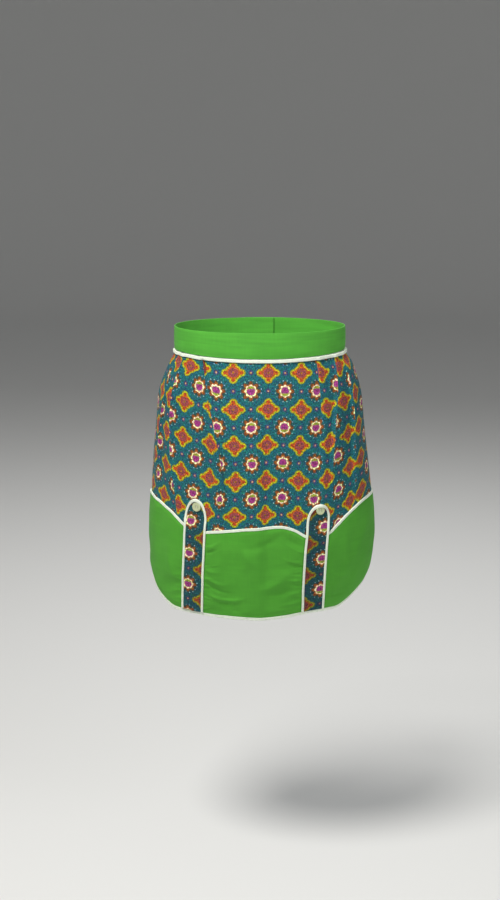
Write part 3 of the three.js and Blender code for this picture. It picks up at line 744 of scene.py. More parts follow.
# Off-white cotton over cord, with small cross creases that are only painted shade: a noise darkens the colour
# in thin lines across the piping and varies the roughness, with no relief
def makePiping():
    look = pipingLook
    material, desk, shader, clothMap, weave = clothMaterial("whitePiping", look)
    crease = desk.noise(desk.stretch(clothMap, look["creaseAlong"], look["creaseRound"]), 1.0)
    # painted shade in the creases
    colour = desk.blend(desk.sum("MULTIPLY", crease, look["crease"]), look["colour"], look["shade"])
    desk.feed(shader.inputs["Base Color"], toned(desk, colour, weave.outputs["Tone"]))
    smoothest = look["rough"] - look["roughSpan"] / 2
    desk.feed(shader.inputs["Roughness"], desk.sum("MULTIPLY_ADD", crease, look["roughSpan"], smoothest))
    shader.inputs["Sheen Weight"].default_value = look["sheen"]
    return material


# Moulded button: cloudy rings round the middle, and painted shade in the holes, which are only shallow dips
def makeButtonMaterial():
    look = buttonLook
    material, desk, shader, clothMap = bareMaterial("paleButton")
    cloud = desk.noise(clothMap, look["cloud"], detail=4.0, roughness=0.6)
    ringPlace = desk.add("ShaderNodeVectorMath", operation="LENGTH")
    desk.feed(ringPlace.inputs[0], clothMap)
    wavy = desk.sum("MULTIPLY", cloud, look["wavy"])
    wavy = desk.sum("MULTIPLY_ADD", ringPlace.outputs["Value"], look["rings"], wavy)
    rings = desk.sum("MULTIPLY_ADD", desk.sum("SINE", wavy), 0.5, 0.5)
    amount = desk.sum("MULTIPLY", rings, cloud, clamp=True)
    colour = desk.blend(amount, look["colour"], look["vein"])
    # painted shade: darker where the stored hole attribute marks a hole
    hole = desk.add("ShaderNodeAttribute", attribute_name="hole").outputs["Fac"]
    desk.feed(shader.inputs["Base Color"], desk.blend(hole, colour, look["hole"]))
    desk.feed(shader.inputs["Roughness"], desk.sum("MULTIPLY_ADD", amount, look["roughSpan"], look["rough"]))
    addRelief(desk, shader, amount, look)
    return material


# Sewing thread, with a twist of two tones
def makeThread():
    look = threadLook
    material, desk, shader, clothMap, weave = clothMaterial("sewingThread", look)
    twist = desk.noise(desk.stretch(clothMap, look["twistAlong"], look["twistRound"]), 1.0)
    colour = desk.blend(twist, look["colour"], look["shade"])
    desk.feed(shader.inputs["Base Color"], toned(desk, colour, weave.outputs["Tone"]))
    shader.inputs["Roughness"].default_value = look["rough"]
    return material


bandGreen, borderShadedGreen = makeGreen("bandGreen", bandLook), makeGreen("borderShadedGreen", borderShadedLook)
printFront, printBack = makePrint("printCotton"), makePrint("printCottonBack", faded=True)
whitePiping = makePiping()
paleButton, sewingThread = makeButtonMaterial(), makeThread()
print("materials made:", len(bpy.data.materials))


# Skirt

skirtForm = {"columns": 380, "rows": 118, "fineNear": 3.0, "fineWide": 6.0, "fineSteps": 4001, "hemAt": 430.0,
             "tableTo": 446.0, "tableRows": 224, "startU": 45.5, "startV": 14.3, "rightEase": 0.06,
             "easeFrom": 5.0, "easeWide": 100.0}

# Rows of the print against the drop: how far they run ahead at aheadAt, and how much more gainOver below
rowShift = {
    "aheadAt": 75.0,
    "gainOver": 175.0,
    "across": [-193, -170, -154, -130, -112, -88, -73, -45, 10, 38, 64, 93, 115, 125, 140, 162, 193, 212],
    "ahead": [18, 14, 8.5, 3.8, 2, 2, -2.7, -1.6, 0.6, -0.6, -2.6, -4.3, -4.7, 1.8, 2.3, 12, 16, 17],
    "gain": [13, 12, 10, 3, 1, 1, 1, 0, 4, 3.5, 2.4, 0.6, 5, 5.5, 10, 17, 20, 20],
}

# The columns of the print lean to the left on their way down: sideways shift at each drop
printLean = {"drop": [0, 75, 135, 195, 250, 440], "shift": [-0.5, 0.6, 3.1, 5.7, 8.2, 14]}


# Columns across the front, crowded by a bell near the crest of every fold, with one column on the line
# of each sharp tuck
def skirtColumns(count):
    x = np.linspace(wornForm["leftEdge"], wornForm["rightEdge"], skirtForm["fineSteps"])
    crowd = np.ones_like(x)
    for fold in folds:
        crowd += skirtForm["fineNear"] * np.exp(-(((x - fold["crest"][0]) / skirtForm["fineWide"]) ** 2))
    share = np.concatenate([[0], np.cumsum((crowd[1:] + crowd[:-1]) / 2)])
    columns = np.interp(np.linspace(0, share[-1], count), share, x)
    cuts = [fold["crest"][0] + fold["cutAt"] * fold["inward"] for fold in folds if max(fold["cut"]) > 0]
    nearest = [int(np.argmin(np.abs(columns - cut))) for cut in cuts]
    columns[nearest] = cuts
    return columns


# Bends the columns sideways so that each one keeps its place between two crests: at every drop a
# straight line from crest to crest, and on to the side edges
def followFolds(column, drop):
    column, drop = np.broadcast_arrays(column, drop)
    order = sorted(folds, key=lambda fold: fold["crest"][0])
    left, right = wornForm["leftEdge"], wornForm["rightEdge"]
    base = np.array([left] + [fold["crest"][0] for fold in order] + [right])
    crests = [fold["line"]["crest"](drop) for fold in order]
    lines = np.stack([np.full(drop.shape, left)] + crests + [np.full(drop.shape, right)])
    k = np.clip(np.searchsorted(base, column, side="right") - 1, 0, len(base) - 2)
    low, high = (np.take_along_axis(lines, i[None], axis=0)[0] for i in (k, k + 1))
    return low + (high - low) * (column - base[k]) / (base[k + 1] - base[k])


# Flat length of cloth from the front centre along each row, measured on a fine table of the surface
def clothLengths(columns, drops):
    w, t = np.meshgrid(columns, drops)
    across = followFolds(w, t)
    points = clothPoint(arcOf(across, t), t, layers["skirt"])
    along = np.linalg.norm(np.diff(points, axis=1), axis=2)
    wide = np.concatenate([np.zeros((len(drops), 1)), np.cumsum(along, axis=1)], axis=1)
    middle = np.interp(0, columns, np.arange(len(columns)))
    low = int(middle)
    centre = wide[:, low] + (middle - low) * (wide[:, low + 1] - wide[:, low])
    return wide - centre[:, None]


# Place of the print. Across: the length of cloth, read from a table by drop, an ease on the right, the
# lean of the columns, what each fold eases in on the flank that faces the centre, and the slack that it
# gives back outside. Down: the drop with the shift of the rows.
def skirtPrint(columns, across, drop):
    s = skirtForm
    tableDrops = np.linspace(0, s["tableTo"], s["tableRows"])
    wide = clothLengths(columns, tableDrops)
    place = drop / (tableDrops[1] - tableDrops[0])
    k = np.clip(place.astype(int), 0, len(tableDrops) - 2)
    j = np.arange(len(columns))[None, :]
    f = place - k
    u = wide[k, j] * (1 - f) + wide[k + 1, j] * f
    u = u + s["rightEase"] * np.clip(across - s["easeFrom"], 0, s["easeWide"])
    u = u + smoothLine(printLean["drop"], printLean["shift"])(drop)
    for fold in folds:
        line, inward = fold["line"], fold["inward"]
        outside = (line["crest"](drop) - across) * inward
        u = u - inward * line["ease"](drop) * smoothStep(outside / fold["spread"] + easeInside)
        u = u + inward * line["slack"](drop) * smoothStep(outside / slackWide)
    ahead, gain = (smoothLine(rowShift["across"], rowShift[key])(across) for key in ("ahead", "gain"))
    v = drop + ahead + gain * (drop - rowShift["aheadAt"]) / rowShift["gainOver"]
    return np.stack([u + s["startU"], v - s["startV"]], -1)


# Whole faces outside a sharp tuck skip the cloth that it hides, the cut and the slack at each corner
def tuckShift(columns, drop):
    quads = gridQuads(*drop.shape)
    cornerDrop = drop.ravel()[quads]
    faceColumn = np.broadcast_to(columns[None, :], drop.shape).ravel()[quads].mean(1)
    shift = np.zeros(quads.shape + (2,))
    for fold in folds:
        line, inward = fold["line"], fold["inward"]
        beyond = (faceColumn - fold["crest"][0] - fold["cutAt"] * inward) * inward < 0
        hidden = line["cut"](cornerDrop) + line["slack"](cornerDrop)
        shift[..., 0] -= inward * hidden * beyond[:, None]
    return shift


# The skirt: columns that follow the folds, in even rows from the seam down to the hem
def makeSkirt():
    columns = skirtColumns(skirtForm["columns"])
    share = np.linspace(0, 1, skirtForm["rows"])[:, None]
    bottom = hemDrop(followFolds(columns, np.full_like(columns, skirtForm["hemAt"])))
    drop = share * bottom[None, :]
    across = followFolds(columns[None, :], drop)
    arc = arcOf(across, drop)
    half = layers["clothThick"] / 2
    outer = clothPoint(arc, drop, layers["skirt"] + half)
    inner = clothPoint(arc, drop, layers["skirt"] - half)
    uv, shift = skirtPrint(columns, across, drop), tuckShift(columns, drop)
    skirt = makeCloth("skirtCloth", outer, inner, uv, [printFront, printBack], shift)
    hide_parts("skirt")
    return skirt


skirtCloth = makeSkirt()
print("skirt:", len(skirtCloth.data.polygons), "faces")


# Border panel

borderForm = {"columns": 310, "rows": 120, "underPiping": 1.0, "edgeCalm": 14.0, "lift": 1.2, "swell": 0.75,
              "crease": 1.9, "creaseBend": 0.006, "lowest": -0.5, "tabClear": 4.0, "tabFade": 7.0}
tabFootDrop = 425.0  # drop at which the feet of the tabs are set across the front
# Each tab's print is darkened by a painted shade factor, 0.62 on the left and 0.5 on the right, for the light
# that the tabs lose low on the apron.
tabs = {
    "left": {"head": -113.2, "top": 231.0, "round": 37.0, "foot": -123.0, "bow": -1.4, "width": 43.5,
             "buttonAt": -112.4, "buttonDown": 5.0, "flowerAt": -8.3, "flowerDrop": 269.0, "printPitch": 57.4,
             "printColumn": 0, "paintedShade": 0.62, "pipingPhase": 0.9},
    "right": {"head": 98.6, "top": 238.0, "round": 27.0, "foot": 87.0, "bow": -3.5, "width": 42.5,
              "buttonAt": 98.5, "buttonDown": 1.5, "flowerAt": 11.8, "flowerDrop": 276.8, "printPitch": 56.6,
              "printColumn": 1, "paintedShade": 0.5, "pipingPhase": 2.7},
}


# Arc of a tab's axis: a straight lean from its head to its foot, bowed sideways by a parabola
def tabAxis(tab, drop):
    foot = hemDrop(acrossOf(tab["foot"], tabFootDrop))
    q = (drop - tab["top"]) / (foot - tab["top"])
    return tab["head"] + (tab["foot"] - tab["head"]) * q + 4 * tab["bow"] * q * (1 - q)


# Broad swells of the border: their direction across and down, pitch and phase
borderSwells = [
    {"across": 1.0, "down": 0.8, "pitch": 64.0, "phase": 2.4},
    {"across": -0.5, "down": 1.0, "pitch": 84.0, "phase": 0.7},
]

# Side of each tab on which the border is pulled: strength at the top and at the foot, and phase
borderPulls = [
    {"tab": "left", "side": 1, "top": 0.7, "foot": 1.25, "phase": 0.2},
    {"tab": "left", "side": -1, "top": 0.1, "foot": 0.9, "phase": 1.9},
    {"tab": "right", "side": -1, "top": 0.8, "foot": 0.9, "phase": 3.1},
    {"tab": "right", "side": 1, "top": 0.1, "foot": 0.6, "phase": 4.4},
]
pullForm = {"high": 1.3, "pitch": 11.5, "bias": 0.2, "power": 1.4, "from": 285.0, "over": 140.0, "under": 3.0,
            "rise": 5.0, "reach": 17.0, "reachMean": 0.75, "reachSpread": 0.5, "reachPitch": 31.0,
            "reachLeast": 5.0, "leanTop": 0.4, "leanGain": 0.75, "bend": 0.006}

# Single creases of the border: place, turn in degrees (down to the right), half length, half width and
# height. A height below 0 is a dent.
borderCreases = {
    "arc": [-87, -88, -91, -89, -83, -80, -81, -53, -57, -46, 18, 37, 5, 54, 57, 56, 55, 57, 55, 50, 40, -30,
            -152, -156, -158, -170, 136, 150, 128],
    "drop": [313, 321, 347, 356, 375, 387, 403, 407, 415, 425, 379, 391, 302, 302, 336, 343, 370, 378, 394,
             413, 345, 318, 372, 390, 404, 350, 372, 330, 405],
    "turn": [-28, -28, 5, 6, 20, 24, 14, -4, 4, 10, -22, -12, -25, 28, 8, 6, 3, 4, -8, -12, -14, 60, -16,
             -20, -24, 78, 18, 80, 14],
    "long": [13, 12, 11, 12, 16, 20, 18, 19, 20, 11, 30, 20, 26, 20, 11, 11, 11, 11, 14, 16, 26, 26, 16, 18,
             20, 34, 16, 34, 18],
    "wide": [3.2, 3, 2.8, 3, 3.4, 3.6, 3.6, 3.4, 4.2, 7, 9, 7, 7, 6, 2.8, 3, 2.8, 3, 3.4, 4, 9, 9, 4, 4, 4.4,
             9, 4, 9, 4],
    "high": [0.7, -0.7, -0.6, 0.6, 0.8, -0.8, 0.7, 1.0, -0.7, -0.8, 1.1, -0.8, -0.9, -0.8, 0.8, -0.7, 0.7,
             -0.7, 0.6, 0.7, -0.7, 0.9, 0.6, -0.6, 0.6, 0.9, 0.6, 0.8, -0.5],
}


# Sum of the creases: each is its height times a bell along its line times a bell across it, on a line
# bent by a parabola
def creaseHeight(arc, drop):
    high = np.zeros(np.broadcast(arc, drop).shape)
    for at, down, turn, long, wide, rise in zip(*borderCreases.values()):
        c, d = np.cos(np.radians(turn)), np.sin(np.radians(turn))
        along, beside = (arc - at) * c + (drop - down) * d, (drop - down) * c - (arc - at) * d
        bent = beside + borderForm["creaseBend"] * along ** 2
        high = high + rise * np.exp(-((along / long) ** 2) - (bent / wide) ** 2)
    return high


# Height of the border over its flat layer: lifted a little, with broad slanting swells and single
# creases away from the tabs, and ridges that rise from under each tab's edge, slope up at the top of
# the panel and down at its foot, and die away
def borderPucker(arc, drop):
    b, p = borderForm, pullForm
    free = np.ones(np.broadcast(arc, drop).shape)
    for tab in tabs.values():
        beside = np.abs(arc - tabAxis(tab, drop)) - tab["width"] / 2
        free = free * smoothStep((beside + b["tabClear"]) / b["tabFade"])
    broad = sum(waver(s["across"] * arc + s["down"] * drop, s["pitch"], s["phase"]) for s in borderSwells)
    high = free * (b["lift"] + b["swell"] * broad + b["crease"] * creaseHeight(arc, drop))
    low = np.clip((drop - p["from"]) / p["over"], 0, 1)
    for pull in borderPulls:
        tab = tabs[pull["tab"]]
        away = (arc - tabAxis(tab, drop)) * pull["side"] - tab["width"] / 2
        uneven = p["reachMean"] + p["reachSpread"] * waver(drop, p["reachPitch"], pull["phase"])
        reach = np.maximum(p["reach"] * uneven, p["reachLeast"])
        fade = smoothStep((away + p["under"]) / p["rise"]) * np.exp(-np.maximum(away, 0) / reach)
        lean = drop - (p["leanGain"] * low - p["leanTop"]) * away + p["bend"] * away ** 2
        ridge = np.maximum(waver(lean, p["pitch"], pull["phase"]) + p["bias"], 0) ** p["power"]
        strength = pull["top"] + (pull["foot"] - pull["top"]) * low
        high = high + p["high"] * strength * fade * ridge
    return np.maximum(high, b["lowest"])


# The border panel: even rows from under its piping down to the hem, calm at both of these edges
def makeBorder():
    b = borderForm
    columns = np.linspace(wornForm["leftEdge"], wornForm["rightEdge"], b["columns"])[None, :]
    top, bottom = borderDrop(columns) - b["underPiping"], hemDrop(columns)
    share = np.linspace(0, 1, b["rows"])[:, None]
    drop = top + (bottom - top) * share
    arc = arcOf(columns + 0 * drop, drop)
    calm = smoothStep(share * b["edgeCalm"]) * smoothStep((1 - share) * b["edgeCalm"])
    swell = borderPucker(arc, drop) * calm
    half = layers["clothThick"] / 2
    outer = clothPoint(arc, drop, layers["border"] + half + swell)
    inner = clothPoint(arc, drop, layers["border"] - half + swell)
    border = makeCloth("borderPanel", outer, inner, np.stack([arc, drop], -1), [borderShadedGreen])
    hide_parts("hem_border")
    return border


borderPanel = makeBorder()
print("border:", len(borderPanel.data.polygons), "faces")


# Waistband

bandForm = {"top": 22.0, "bottom": -21.0, "wall": 2.0, "square": 0.34, "pillow": 0.7, "backDepth": 92.0,
            "formDrop": -30.0, "overlapTurn": 190.0, "lapLift": 2.55, "lapFrom": 140.0, "lapOver": 30.0,
            "stations": 420, "sides": 44, "pull": 0.28, "pullPitch": 9.5, "pullPhase": 0.8,
            "pullLean": 0.02, "leanPitch": 130.0, "patchPitch": 64.0, "patchPhase": 2.0}


# Loop round the waist: an oval with its own depth at the back, lifted where its end laps over
def bandPoint(turn, height, lift):
    b = bandForm
    turn, height, lift = np.broadcast_arrays(*(np.asarray(v, float) for v in (turn, height, lift)))
    angle = np.radians(turn)
    half, frontDepth, shift = (formLine[k](b["formDrop"]) for k in ("left", "front", "shift"))
    depth = np.where(np.abs(turn) <= 90, frontDepth, b["backDepth"])
    sinA, cosA = np.sin(angle), np.cos(angle)
    out = lift + b["lapLift"] * smoothStep((turn - b["lapFrom"]) / b["lapOver"])
    nx, ny = depth * sinA, -half * cosA
    size = np.hypot(nx, ny)
    x = shift + half * sinA + out * nx / size
    y = -depth * cosA + out * ny / size
    return np.stack([x, y, height + 0 * x], -1)


# The band's section runs up the outer face, over the rolled top edge, down inside and under: a long
# rounded oblong with a soft swell, and faint lengthwise pulls that come and go round the waist
def makeBand():
    b = bandForm
    turn = np.linspace(-b["overlapTurn"], b["overlapTurn"], b["stations"])[:, None]
    sx, sy = flatSection(b["sides"], b["square"])
    low = b["bottom"] + wornForm["sideRise"] * np.sin(np.radians(turn)) ** 2
    up = (sy[None, :] + 1) / 2
    height = low + up * (b["top"] - low)
    lift = b["wall"] / 2 + sx[None, :] * b["wall"] / 2
    outside = smoothStep(sx[None, :] * 2) * np.sin(np.pi * up)
    lean = b["pullLean"] * turn * waver(turn, b["leanPitch"])
    patches = 0.5 + 0.5 * waver(turn, b["patchPitch"], b["patchPhase"])
    pulls = waver(height + lean, b["pullPitch"], b["pullPhase"]) * patches
    points = bandPoint(turn, height, lift + (b["pillow"] + b["pull"] * pulls) * outside)
    along = np.concatenate([[0], np.cumsum(np.linalg.norm(np.diff(points.mean(1), axis=0), axis=1))])
    ring = points[b["stations"] // 2]
    around = np.cumsum(np.linalg.norm(np.diff(ring, axis=0, prepend=ring[-1:]), axis=1))
    band = makeRoll("waistBand", points, along, around, [bandGreen])
    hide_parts("waistband")
    return band


waistBand = makeBand()
print("waistband:", len(waistBand.data.polygons), "faces")


# Pipings

seamPaths = []  # path, form and base of each piping, for its row of stitches
pipingForm = {
    "waist": {"width": 5.5, "low": -0.3, "high": 3.3, "sides": 20, "step": 2.4, "square": 0.5,
              "seamAt": 0.6, "phase": 0.3, "points": 200, "over": 0.35, "past": 1.0},
    "border": {"width": 4.8, "low": 1.2, "high": 3.7, "sides": 20, "step": 2.4, "square": 0.5,
               "seamAt": 0.6, "phase": 1.1, "points": 500},
    "hem": {"width": 5.8, "low": -0.6, "high": 2.8, "sides": 20, "step": 2.4, "square": 0.45,
            "seamAt": 0.6, "phase": 2.2, "points": 1500, "endPoints": 60},
}
pipingUneven = {"thick": 0.035, "pitch": 23.0, "fine": 0.02, "finePitch": 5.3, "sway": 0.22,
                "swayPitch": 61.0}


# Plumper at the middle of a path, where the form says so: 1, and a raised cosine over plumpReach
def plumpness(places, form):
    return 1 + form.get("plump", 0) * hump((places - places.mean()) / form.get("plumpReach", 1))


# A piping laid on the cloth: a rounded flat section at each station of a path given as arc and drop,
# offset sideways in the cloth and outwards by lift, slightly uneven along its length
def clothPiping(name, path, form, base, node, phase):
    seamPaths.append((path, form, base))
    stations, places = evenPath(path, form["step"])
    normal = pathNormals(stations)
    sx, sy = flatSection(form["sides"], form["square"])
    n = pipingUneven
    uneven = 1 + n["thick"] * waver(places, n["pitch"], phase)
    uneven = uneven + n["fine"] * waver(places, n["finePitch"], phase + 1)
    sway = n["sway"] * waver(places, n["swayPitch"], phase)
    plump = plumpness(places, form)
    wider = uneven * (1 + form.get("plumpWide", 0) * (plump - 1))
    side = sx[None, :] * form["width"] / 2 * wider[:, None] + sway[:, None]
    arc = stations[:, :1] + normal[:, :1] * side
    drop = stations[:, 1:] + normal[:, 1:] * side
    tall = (form["high"] - form["low"]) / 2
    lift = base(arc, drop) + form["low"] + (1 + sy[None, :]) * tall * (uneven * plump)[:, None]
    rings = clothPoint(arc, drop, lift)
    stepX, stepY = np.diff(sx, prepend=sx[-1]) * form["width"] / 2, np.diff(sy, prepend=sy[-1]) * tall
    piping = makeRoll(name, rings, places, np.cumsum(np.hypot(stepX, stepY)), [whitePiping])
    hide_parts(node)
    return piping


# A piping that lies on the worn form itself
def flatBase(arc, drop):
    return 0 * arc


# Straight along the skirt's seam, just over it, and a little past both of its ends
def makeWaistPiping():
    form = pipingForm["waist"]
    left, right = wornForm["leftEdge"] - form["past"], wornForm["rightEdge"] + form["past"]
    arc = np.linspace(left, right, form["points"])
    path = np.stack([arc, np.full_like(arc, -form["over"] - form["width"] / 2)], -1)
    return clothPiping("waistPiping", path, form, flatBase, "waist_piping", form["phase"])


# Along the border's top edge
def makeBorderPiping():
    form = pipingForm["border"]
    across = np.linspace(wornForm["leftEdge"], wornForm["rightEdge"], form["points"])
    drop = borderDrop(across)
    path = np.stack([arcOf(across, drop), drop], -1)
    return clothPiping("borderPiping", path, form, flatBase, "border_piping", form["phase"])


# Outline of the border, down its left edge, round the hem and up its right edge, moved out by half
# the width of the piping
def makeHemPiping():
    form = pipingForm["hem"]
    left, right = wornForm["leftEdge"], wornForm["rightEdge"]
    across = np.linspace(left, right, form["points"])
    drops = hemDrop(across)
    over = pipingForm["border"]["width"] / 2
    leftDown = np.linspace(borderDrop(left) - over, drops[0], form["endPoints"])[:-1]
    rightUp = np.linspace(drops[-1], borderDrop(right) - over, form["endPoints"])[1:]
    acrossAll = np.concatenate([np.full_like(leftDown, left), across, np.full_like(rightUp, right)])
    dropAll = np.concatenate([leftDown, drops, rightUp])
    path = np.stack([arcOf(acrossAll, dropAll), dropAll], -1)
    even, _ = evenPath(path, form["step"])
    moved = even - pathNormals(even) * form["width"] / 2
    return clothPiping("hemPiping", moved, form, flatBase, "hem_piping", form["phase"])


waistPiping, borderPiping, hemPiping = makeWaistPiping(), makeBorderPiping(), makeHemPiping()
print("pipings:", sum(len(p.data.polygons) for p in (waistPiping, borderPiping, hemPiping)), "faces")


# Tabs

tabForm = {"columns": 40, "rows": 150, "inset": 4.45, "flatHead": 24.0, "flatFade": 20.0, "footGap": 0.5,
           "swell": 0.5, "swellUneven": 0.6, "swellPitch": 47.0}
tabPiping = {"width": 3.9, "low": -0.35, "high": 1.9, "sides": 18, "step": 2.0, "square": 0.55, "plump": 1.1,
             "plumpReach": 24.0, "plumpWide": 0.3, "seamAt": 0.55, "overlap": 0.25, "points": 160,
             "sidePoints": 120}


# Drop at which a tab ends, a little above the hem, at places beside its axis
def tabFoot(tab, beside):
    return hemDrop(acrossOf(tab["foot"] + beside, tabFootDrop)) - tabForm["footGap"]


# A tab: straight sides on a leaning axis and a half-oval head. Columns run from the head's curve
# down to the hem, and the middle swells like a cosine below the button.
def makeTab(name, tab, node):
    t = tabForm
    radius = tab["width"] / 2 - t["inset"]
    rise = tab["round"] - t["inset"]
    c = np.sin(np.pi / 2 * np.linspace(-1, 1, t["columns"]))[None, :]
    top = tab["top"] + t["inset"] + rise * (1 - np.sqrt(np.maximum(1 - c * c, 0)))
    bottom = tabFoot(tab, radius * c)
    drop = top + (bottom - top) * np.linspace(0, 1, t["rows"])[:, None]
    arc = tabAxis(tab, drop) + radius * c
    below = smoothStep((drop - tab["top"] - t["flatHead"]) / t["flatFade"])
    uneven = 1 + t["swellUneven"] * waver(drop, t["swellPitch"], tab["head"])
    lift = tabLift(arc, drop) + t["swell"] * np.cos(np.pi / 2 * c) * uneven * below
    half = layers["clothThick"] / 2
    outer, inner = clothPoint(arc, drop, lift + half), clothPoint(arc, drop, lift - half)
    wide, high = printSizes["wide"], printSizes["high"]
    u = radius * c + 0 * drop - tab["flowerAt"] + wide * (tab["printColumn"] + 0.5)
    v = (drop - tab["flowerDrop"]) * high / tab["printPitch"] + high / 2
    # a darker copy of the print for each tab: painted shade
    front = makePrint(name + "Print", tab["paintedShade"])
    cloth = makeCloth(name, outer, inner, np.stack([u, v], -1), [front, printBack])
    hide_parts(node)
    return cloth


# The piping round a tab follows its outline from the left foot over the head to the right foot
def makeTabPiping(name, tab, node):
    middle = tabPiping["width"] / 2
    radius = tab["width"] / 2 - tabForm["inset"] + middle - tabPiping["overlap"]
    rise = tab["round"] - middle
    start = tab["top"] + middle + rise
    angle = np.linspace(np.pi, 0, tabPiping["points"])
    footLeft, footRight = tabFoot(tab, np.array([-radius, radius]))
    upLeft = np.linspace(footLeft, start, tabPiping["sidePoints"])[:-1]
    downRight = np.linspace(start, footRight, tabPiping["sidePoints"])[1:]
    beside = [np.full_like(upLeft, -radius), radius * np.cos(angle), np.full_like(downRight, radius)]
    drop = np.concatenate([upLeft, start - rise * np.sin(angle), downRight])
    path = np.stack([tabAxis(tab, drop) + np.concatenate(beside), drop], -1)
    return clothPiping(name, path, tabPiping, tabLift, node, tab["pipingPhase"])


tabLeft = makeTab("tabLeft", tabs["left"], "tab_left")
tabRight = makeTab("tabRight", tabs["right"], "tab_right")
tabPipingLeft = makeTabPiping("tabPipingLeft", tabs["left"], "tab_piping_left")
tabPipingRight = makeTabPiping("tabPipingRight", tabs["right"], "tab_piping_right")
tabPieces = (tabLeft, tabRight, tabPipingLeft, tabPipingRight)
print("tabs:", sum(len(p.data.polygons) for p in tabPieces), "faces")


# Buttons

buttonForm = {"radius": 8.0, "thick": 2.6, "edge": 0.9, "dish": 0.55, "dishRadius": 5.2, "rim": 0.28,
              "rimIn": 1.7, "rimWide": 0.8, "holeAt": 1.9, "hole": 0.85, "holeDeep": 1.1, "holeSoft": 0.4,
              "middle": 0.02, "fineTo": 3.6, "fineRings": 26, "coarseRings": 12, "edgeRings": 9, "turns": 96,
              "gap": 0.4, "backGap": 0.35, "backHeight": 0.5}
buttonThreadForm = {"strands": [-0.26, 0.0, 0.26], "radius": 0.2, "sides": 8, "points": 15, "arch": 0.75,
                    "archPower": 0.7, "sunk": 0.55}


# Frame on the cloth at a place: the point, its direction along the row, up the cloth and outwards
def clothFrame(arc, drop, lift):
    p = clothPoint(np.array([arc, arc + 1, arc]), np.array([drop, drop, drop - 1]), lift, folded=False)
    q = clothPoint(arc, drop, lift)
    along = (p[1] - p[0]) / np.linalg.norm(p[1] - p[0])
    up = p[2] - p[0]
    out = np.cross(along, up)
    out = out / np.linalg.norm(out)
    return q, along, np.cross(out, along), out


# A turned button: a profile of radius and height carried round its axis, the face dished in the
# middle and raised near its rim, and four round holes sunk into the dish
def makeButton(name, spot, node):
    f = buttonForm
    centre, along, up, out = spot
    flatTo, thick = f["radius"] - f["edge"], f["thick"]
    fine = np.linspace(f["middle"], f["fineTo"], f["fineRings"])
    coarse = np.linspace(f["fineTo"], flatTo, f["coarseRings"])
    face = np.concatenate([fine, coarse[1:]])
    bend = np.linspace(0, np.pi, f["edgeRings"])[1:-1]
    rim = f["rim"] * np.exp(-(((face - f["radius"] + f["rimIn"]) / f["rimWide"]) ** 2))
    faceHigh = thick - f["dish"] * hump(face / f["dishRadius"]) + rim
    r = np.concatenate([face, flatTo + f["edge"] * np.sin(bend), [flatTo, f["middle"]]])
    h = np.concatenate([faceHigh, thick / 2 + thick / 2 * np.cos(bend), [0, 0]])
    turn = np.linspace(0, 2 * np.pi, f["turns"], endpoint=False)[None, :]
    x, y = r[:, None] * np.cos(turn), r[:, None] * np.sin(turn)
    k = f["holeAt"] / np.sqrt(2)
    near = np.hypot(np.abs(x) - k, np.abs(y) - k)
    onFace = np.arange(len(r))[:, None] < len(face)
    hole = smoothStep((f["hole"] - near) / f["holeSoft"] + 0.5) * onFace
    height = h[:, None] - f["holeDeep"] * hole
    points = centre + x[..., None] * along + y[..., None] * up + height[..., None] * out
    rows, sides = x.shape
    count, last = rows * sides, (rows - 1) * sides
    ring, turned = np.arange(sides), (np.arange(sides) + 1) % sides
    top = np.stack([np.full(sides, count), ring, turned], -1)
    base = np.stack([np.full(sides, count + 1), last + turned, last + ring], -1)
    ends = np.stack([centre + h[0] * out, centre])
    allPoints = np.concatenate([points.reshape(-1, 3), ends])
    flat = np.concatenate([np.stack([x, y], -1).reshape(-1, 2), np.zeros((2, 2))])
    # how far into a hole each point lies, which the button's material paints as shade
    holeShade = np.concatenate([hole.ravel(), [0, 0]])
    faces = [ringQuads(rows, sides), top, base]
    corners = [flat[q] for q in faces]
    button = makePiece(name, allPoints, faces, corners, [paleButton], extras={"hole": holeShade})
    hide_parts(node)
    return button


# Two bars of thread over a button, from hole to hole, of three strands each: a low arch carried by a
# round section
def buttonBars(spot):
    f, b = buttonForm, buttonThreadForm
    centre, along, up, out = spot
    k = f["holeAt"] / np.sqrt(2)
    t = np.linspace(0, 1, b["points"])
    arch = f["thick"] - f["dish"] - b["sunk"] + b["arch"] * np.sin(np.pi * t) ** b["archPower"]
    a = 2 * np.pi * np.arange(b["sides"]) / b["sides"]
    bars = []
    for side in (-k, k):
        for strand in b["strands"]:
            path = centre + ((2 * t - 1) * k)[:, None] * along + (side + strand) * up + arch[:, None] * out
            direction = np.gradient(path, axis=0)
            direction /= np.linalg.norm(direction, axis=1, keepdims=True)
            normal = np.cross(direction, up)
            normal /= np.linalg.norm(normal, axis=1, keepdims=True)
            ring = np.cos(a)[None, :, None] * normal[:, None, :] + np.sin(a)[None, :, None] * up
            bars.append(path[:, None, :] + b["radius"] * ring)
    return np.stack(bars)


# Place of a front button, just over the cloth of its tab
def buttonSpot(tab):
    drop = tab["top"] + tab["buttonDown"] + buttonForm["radius"]
    lift = float(tabLift(tab["buttonAt"], drop)) + buttonForm["gap"]
    return clothFrame(tab["buttonAt"], drop, lift)


backCentre = bandPoint(180.0, buttonForm["backHeight"], bandForm["wall"] + buttonForm["backGap"])
backSpot = (backCentre, np.array([-1.0, 0, 0]), np.array([0, 0, 1.0]), np.array([0, 1.0, 0]))
spots = {"buttonLeft": (buttonSpot(tabs["left"]), "button_left"),
         "buttonRight": (buttonSpot(tabs["right"]), "button_right"),
         "buttonBack": (backSpot, "back_button")}
buttons = {name: makeButton(name, spot, node) for name, (spot, node) in spots.items()}
print("buttons:", len(buttons))


# Stitches

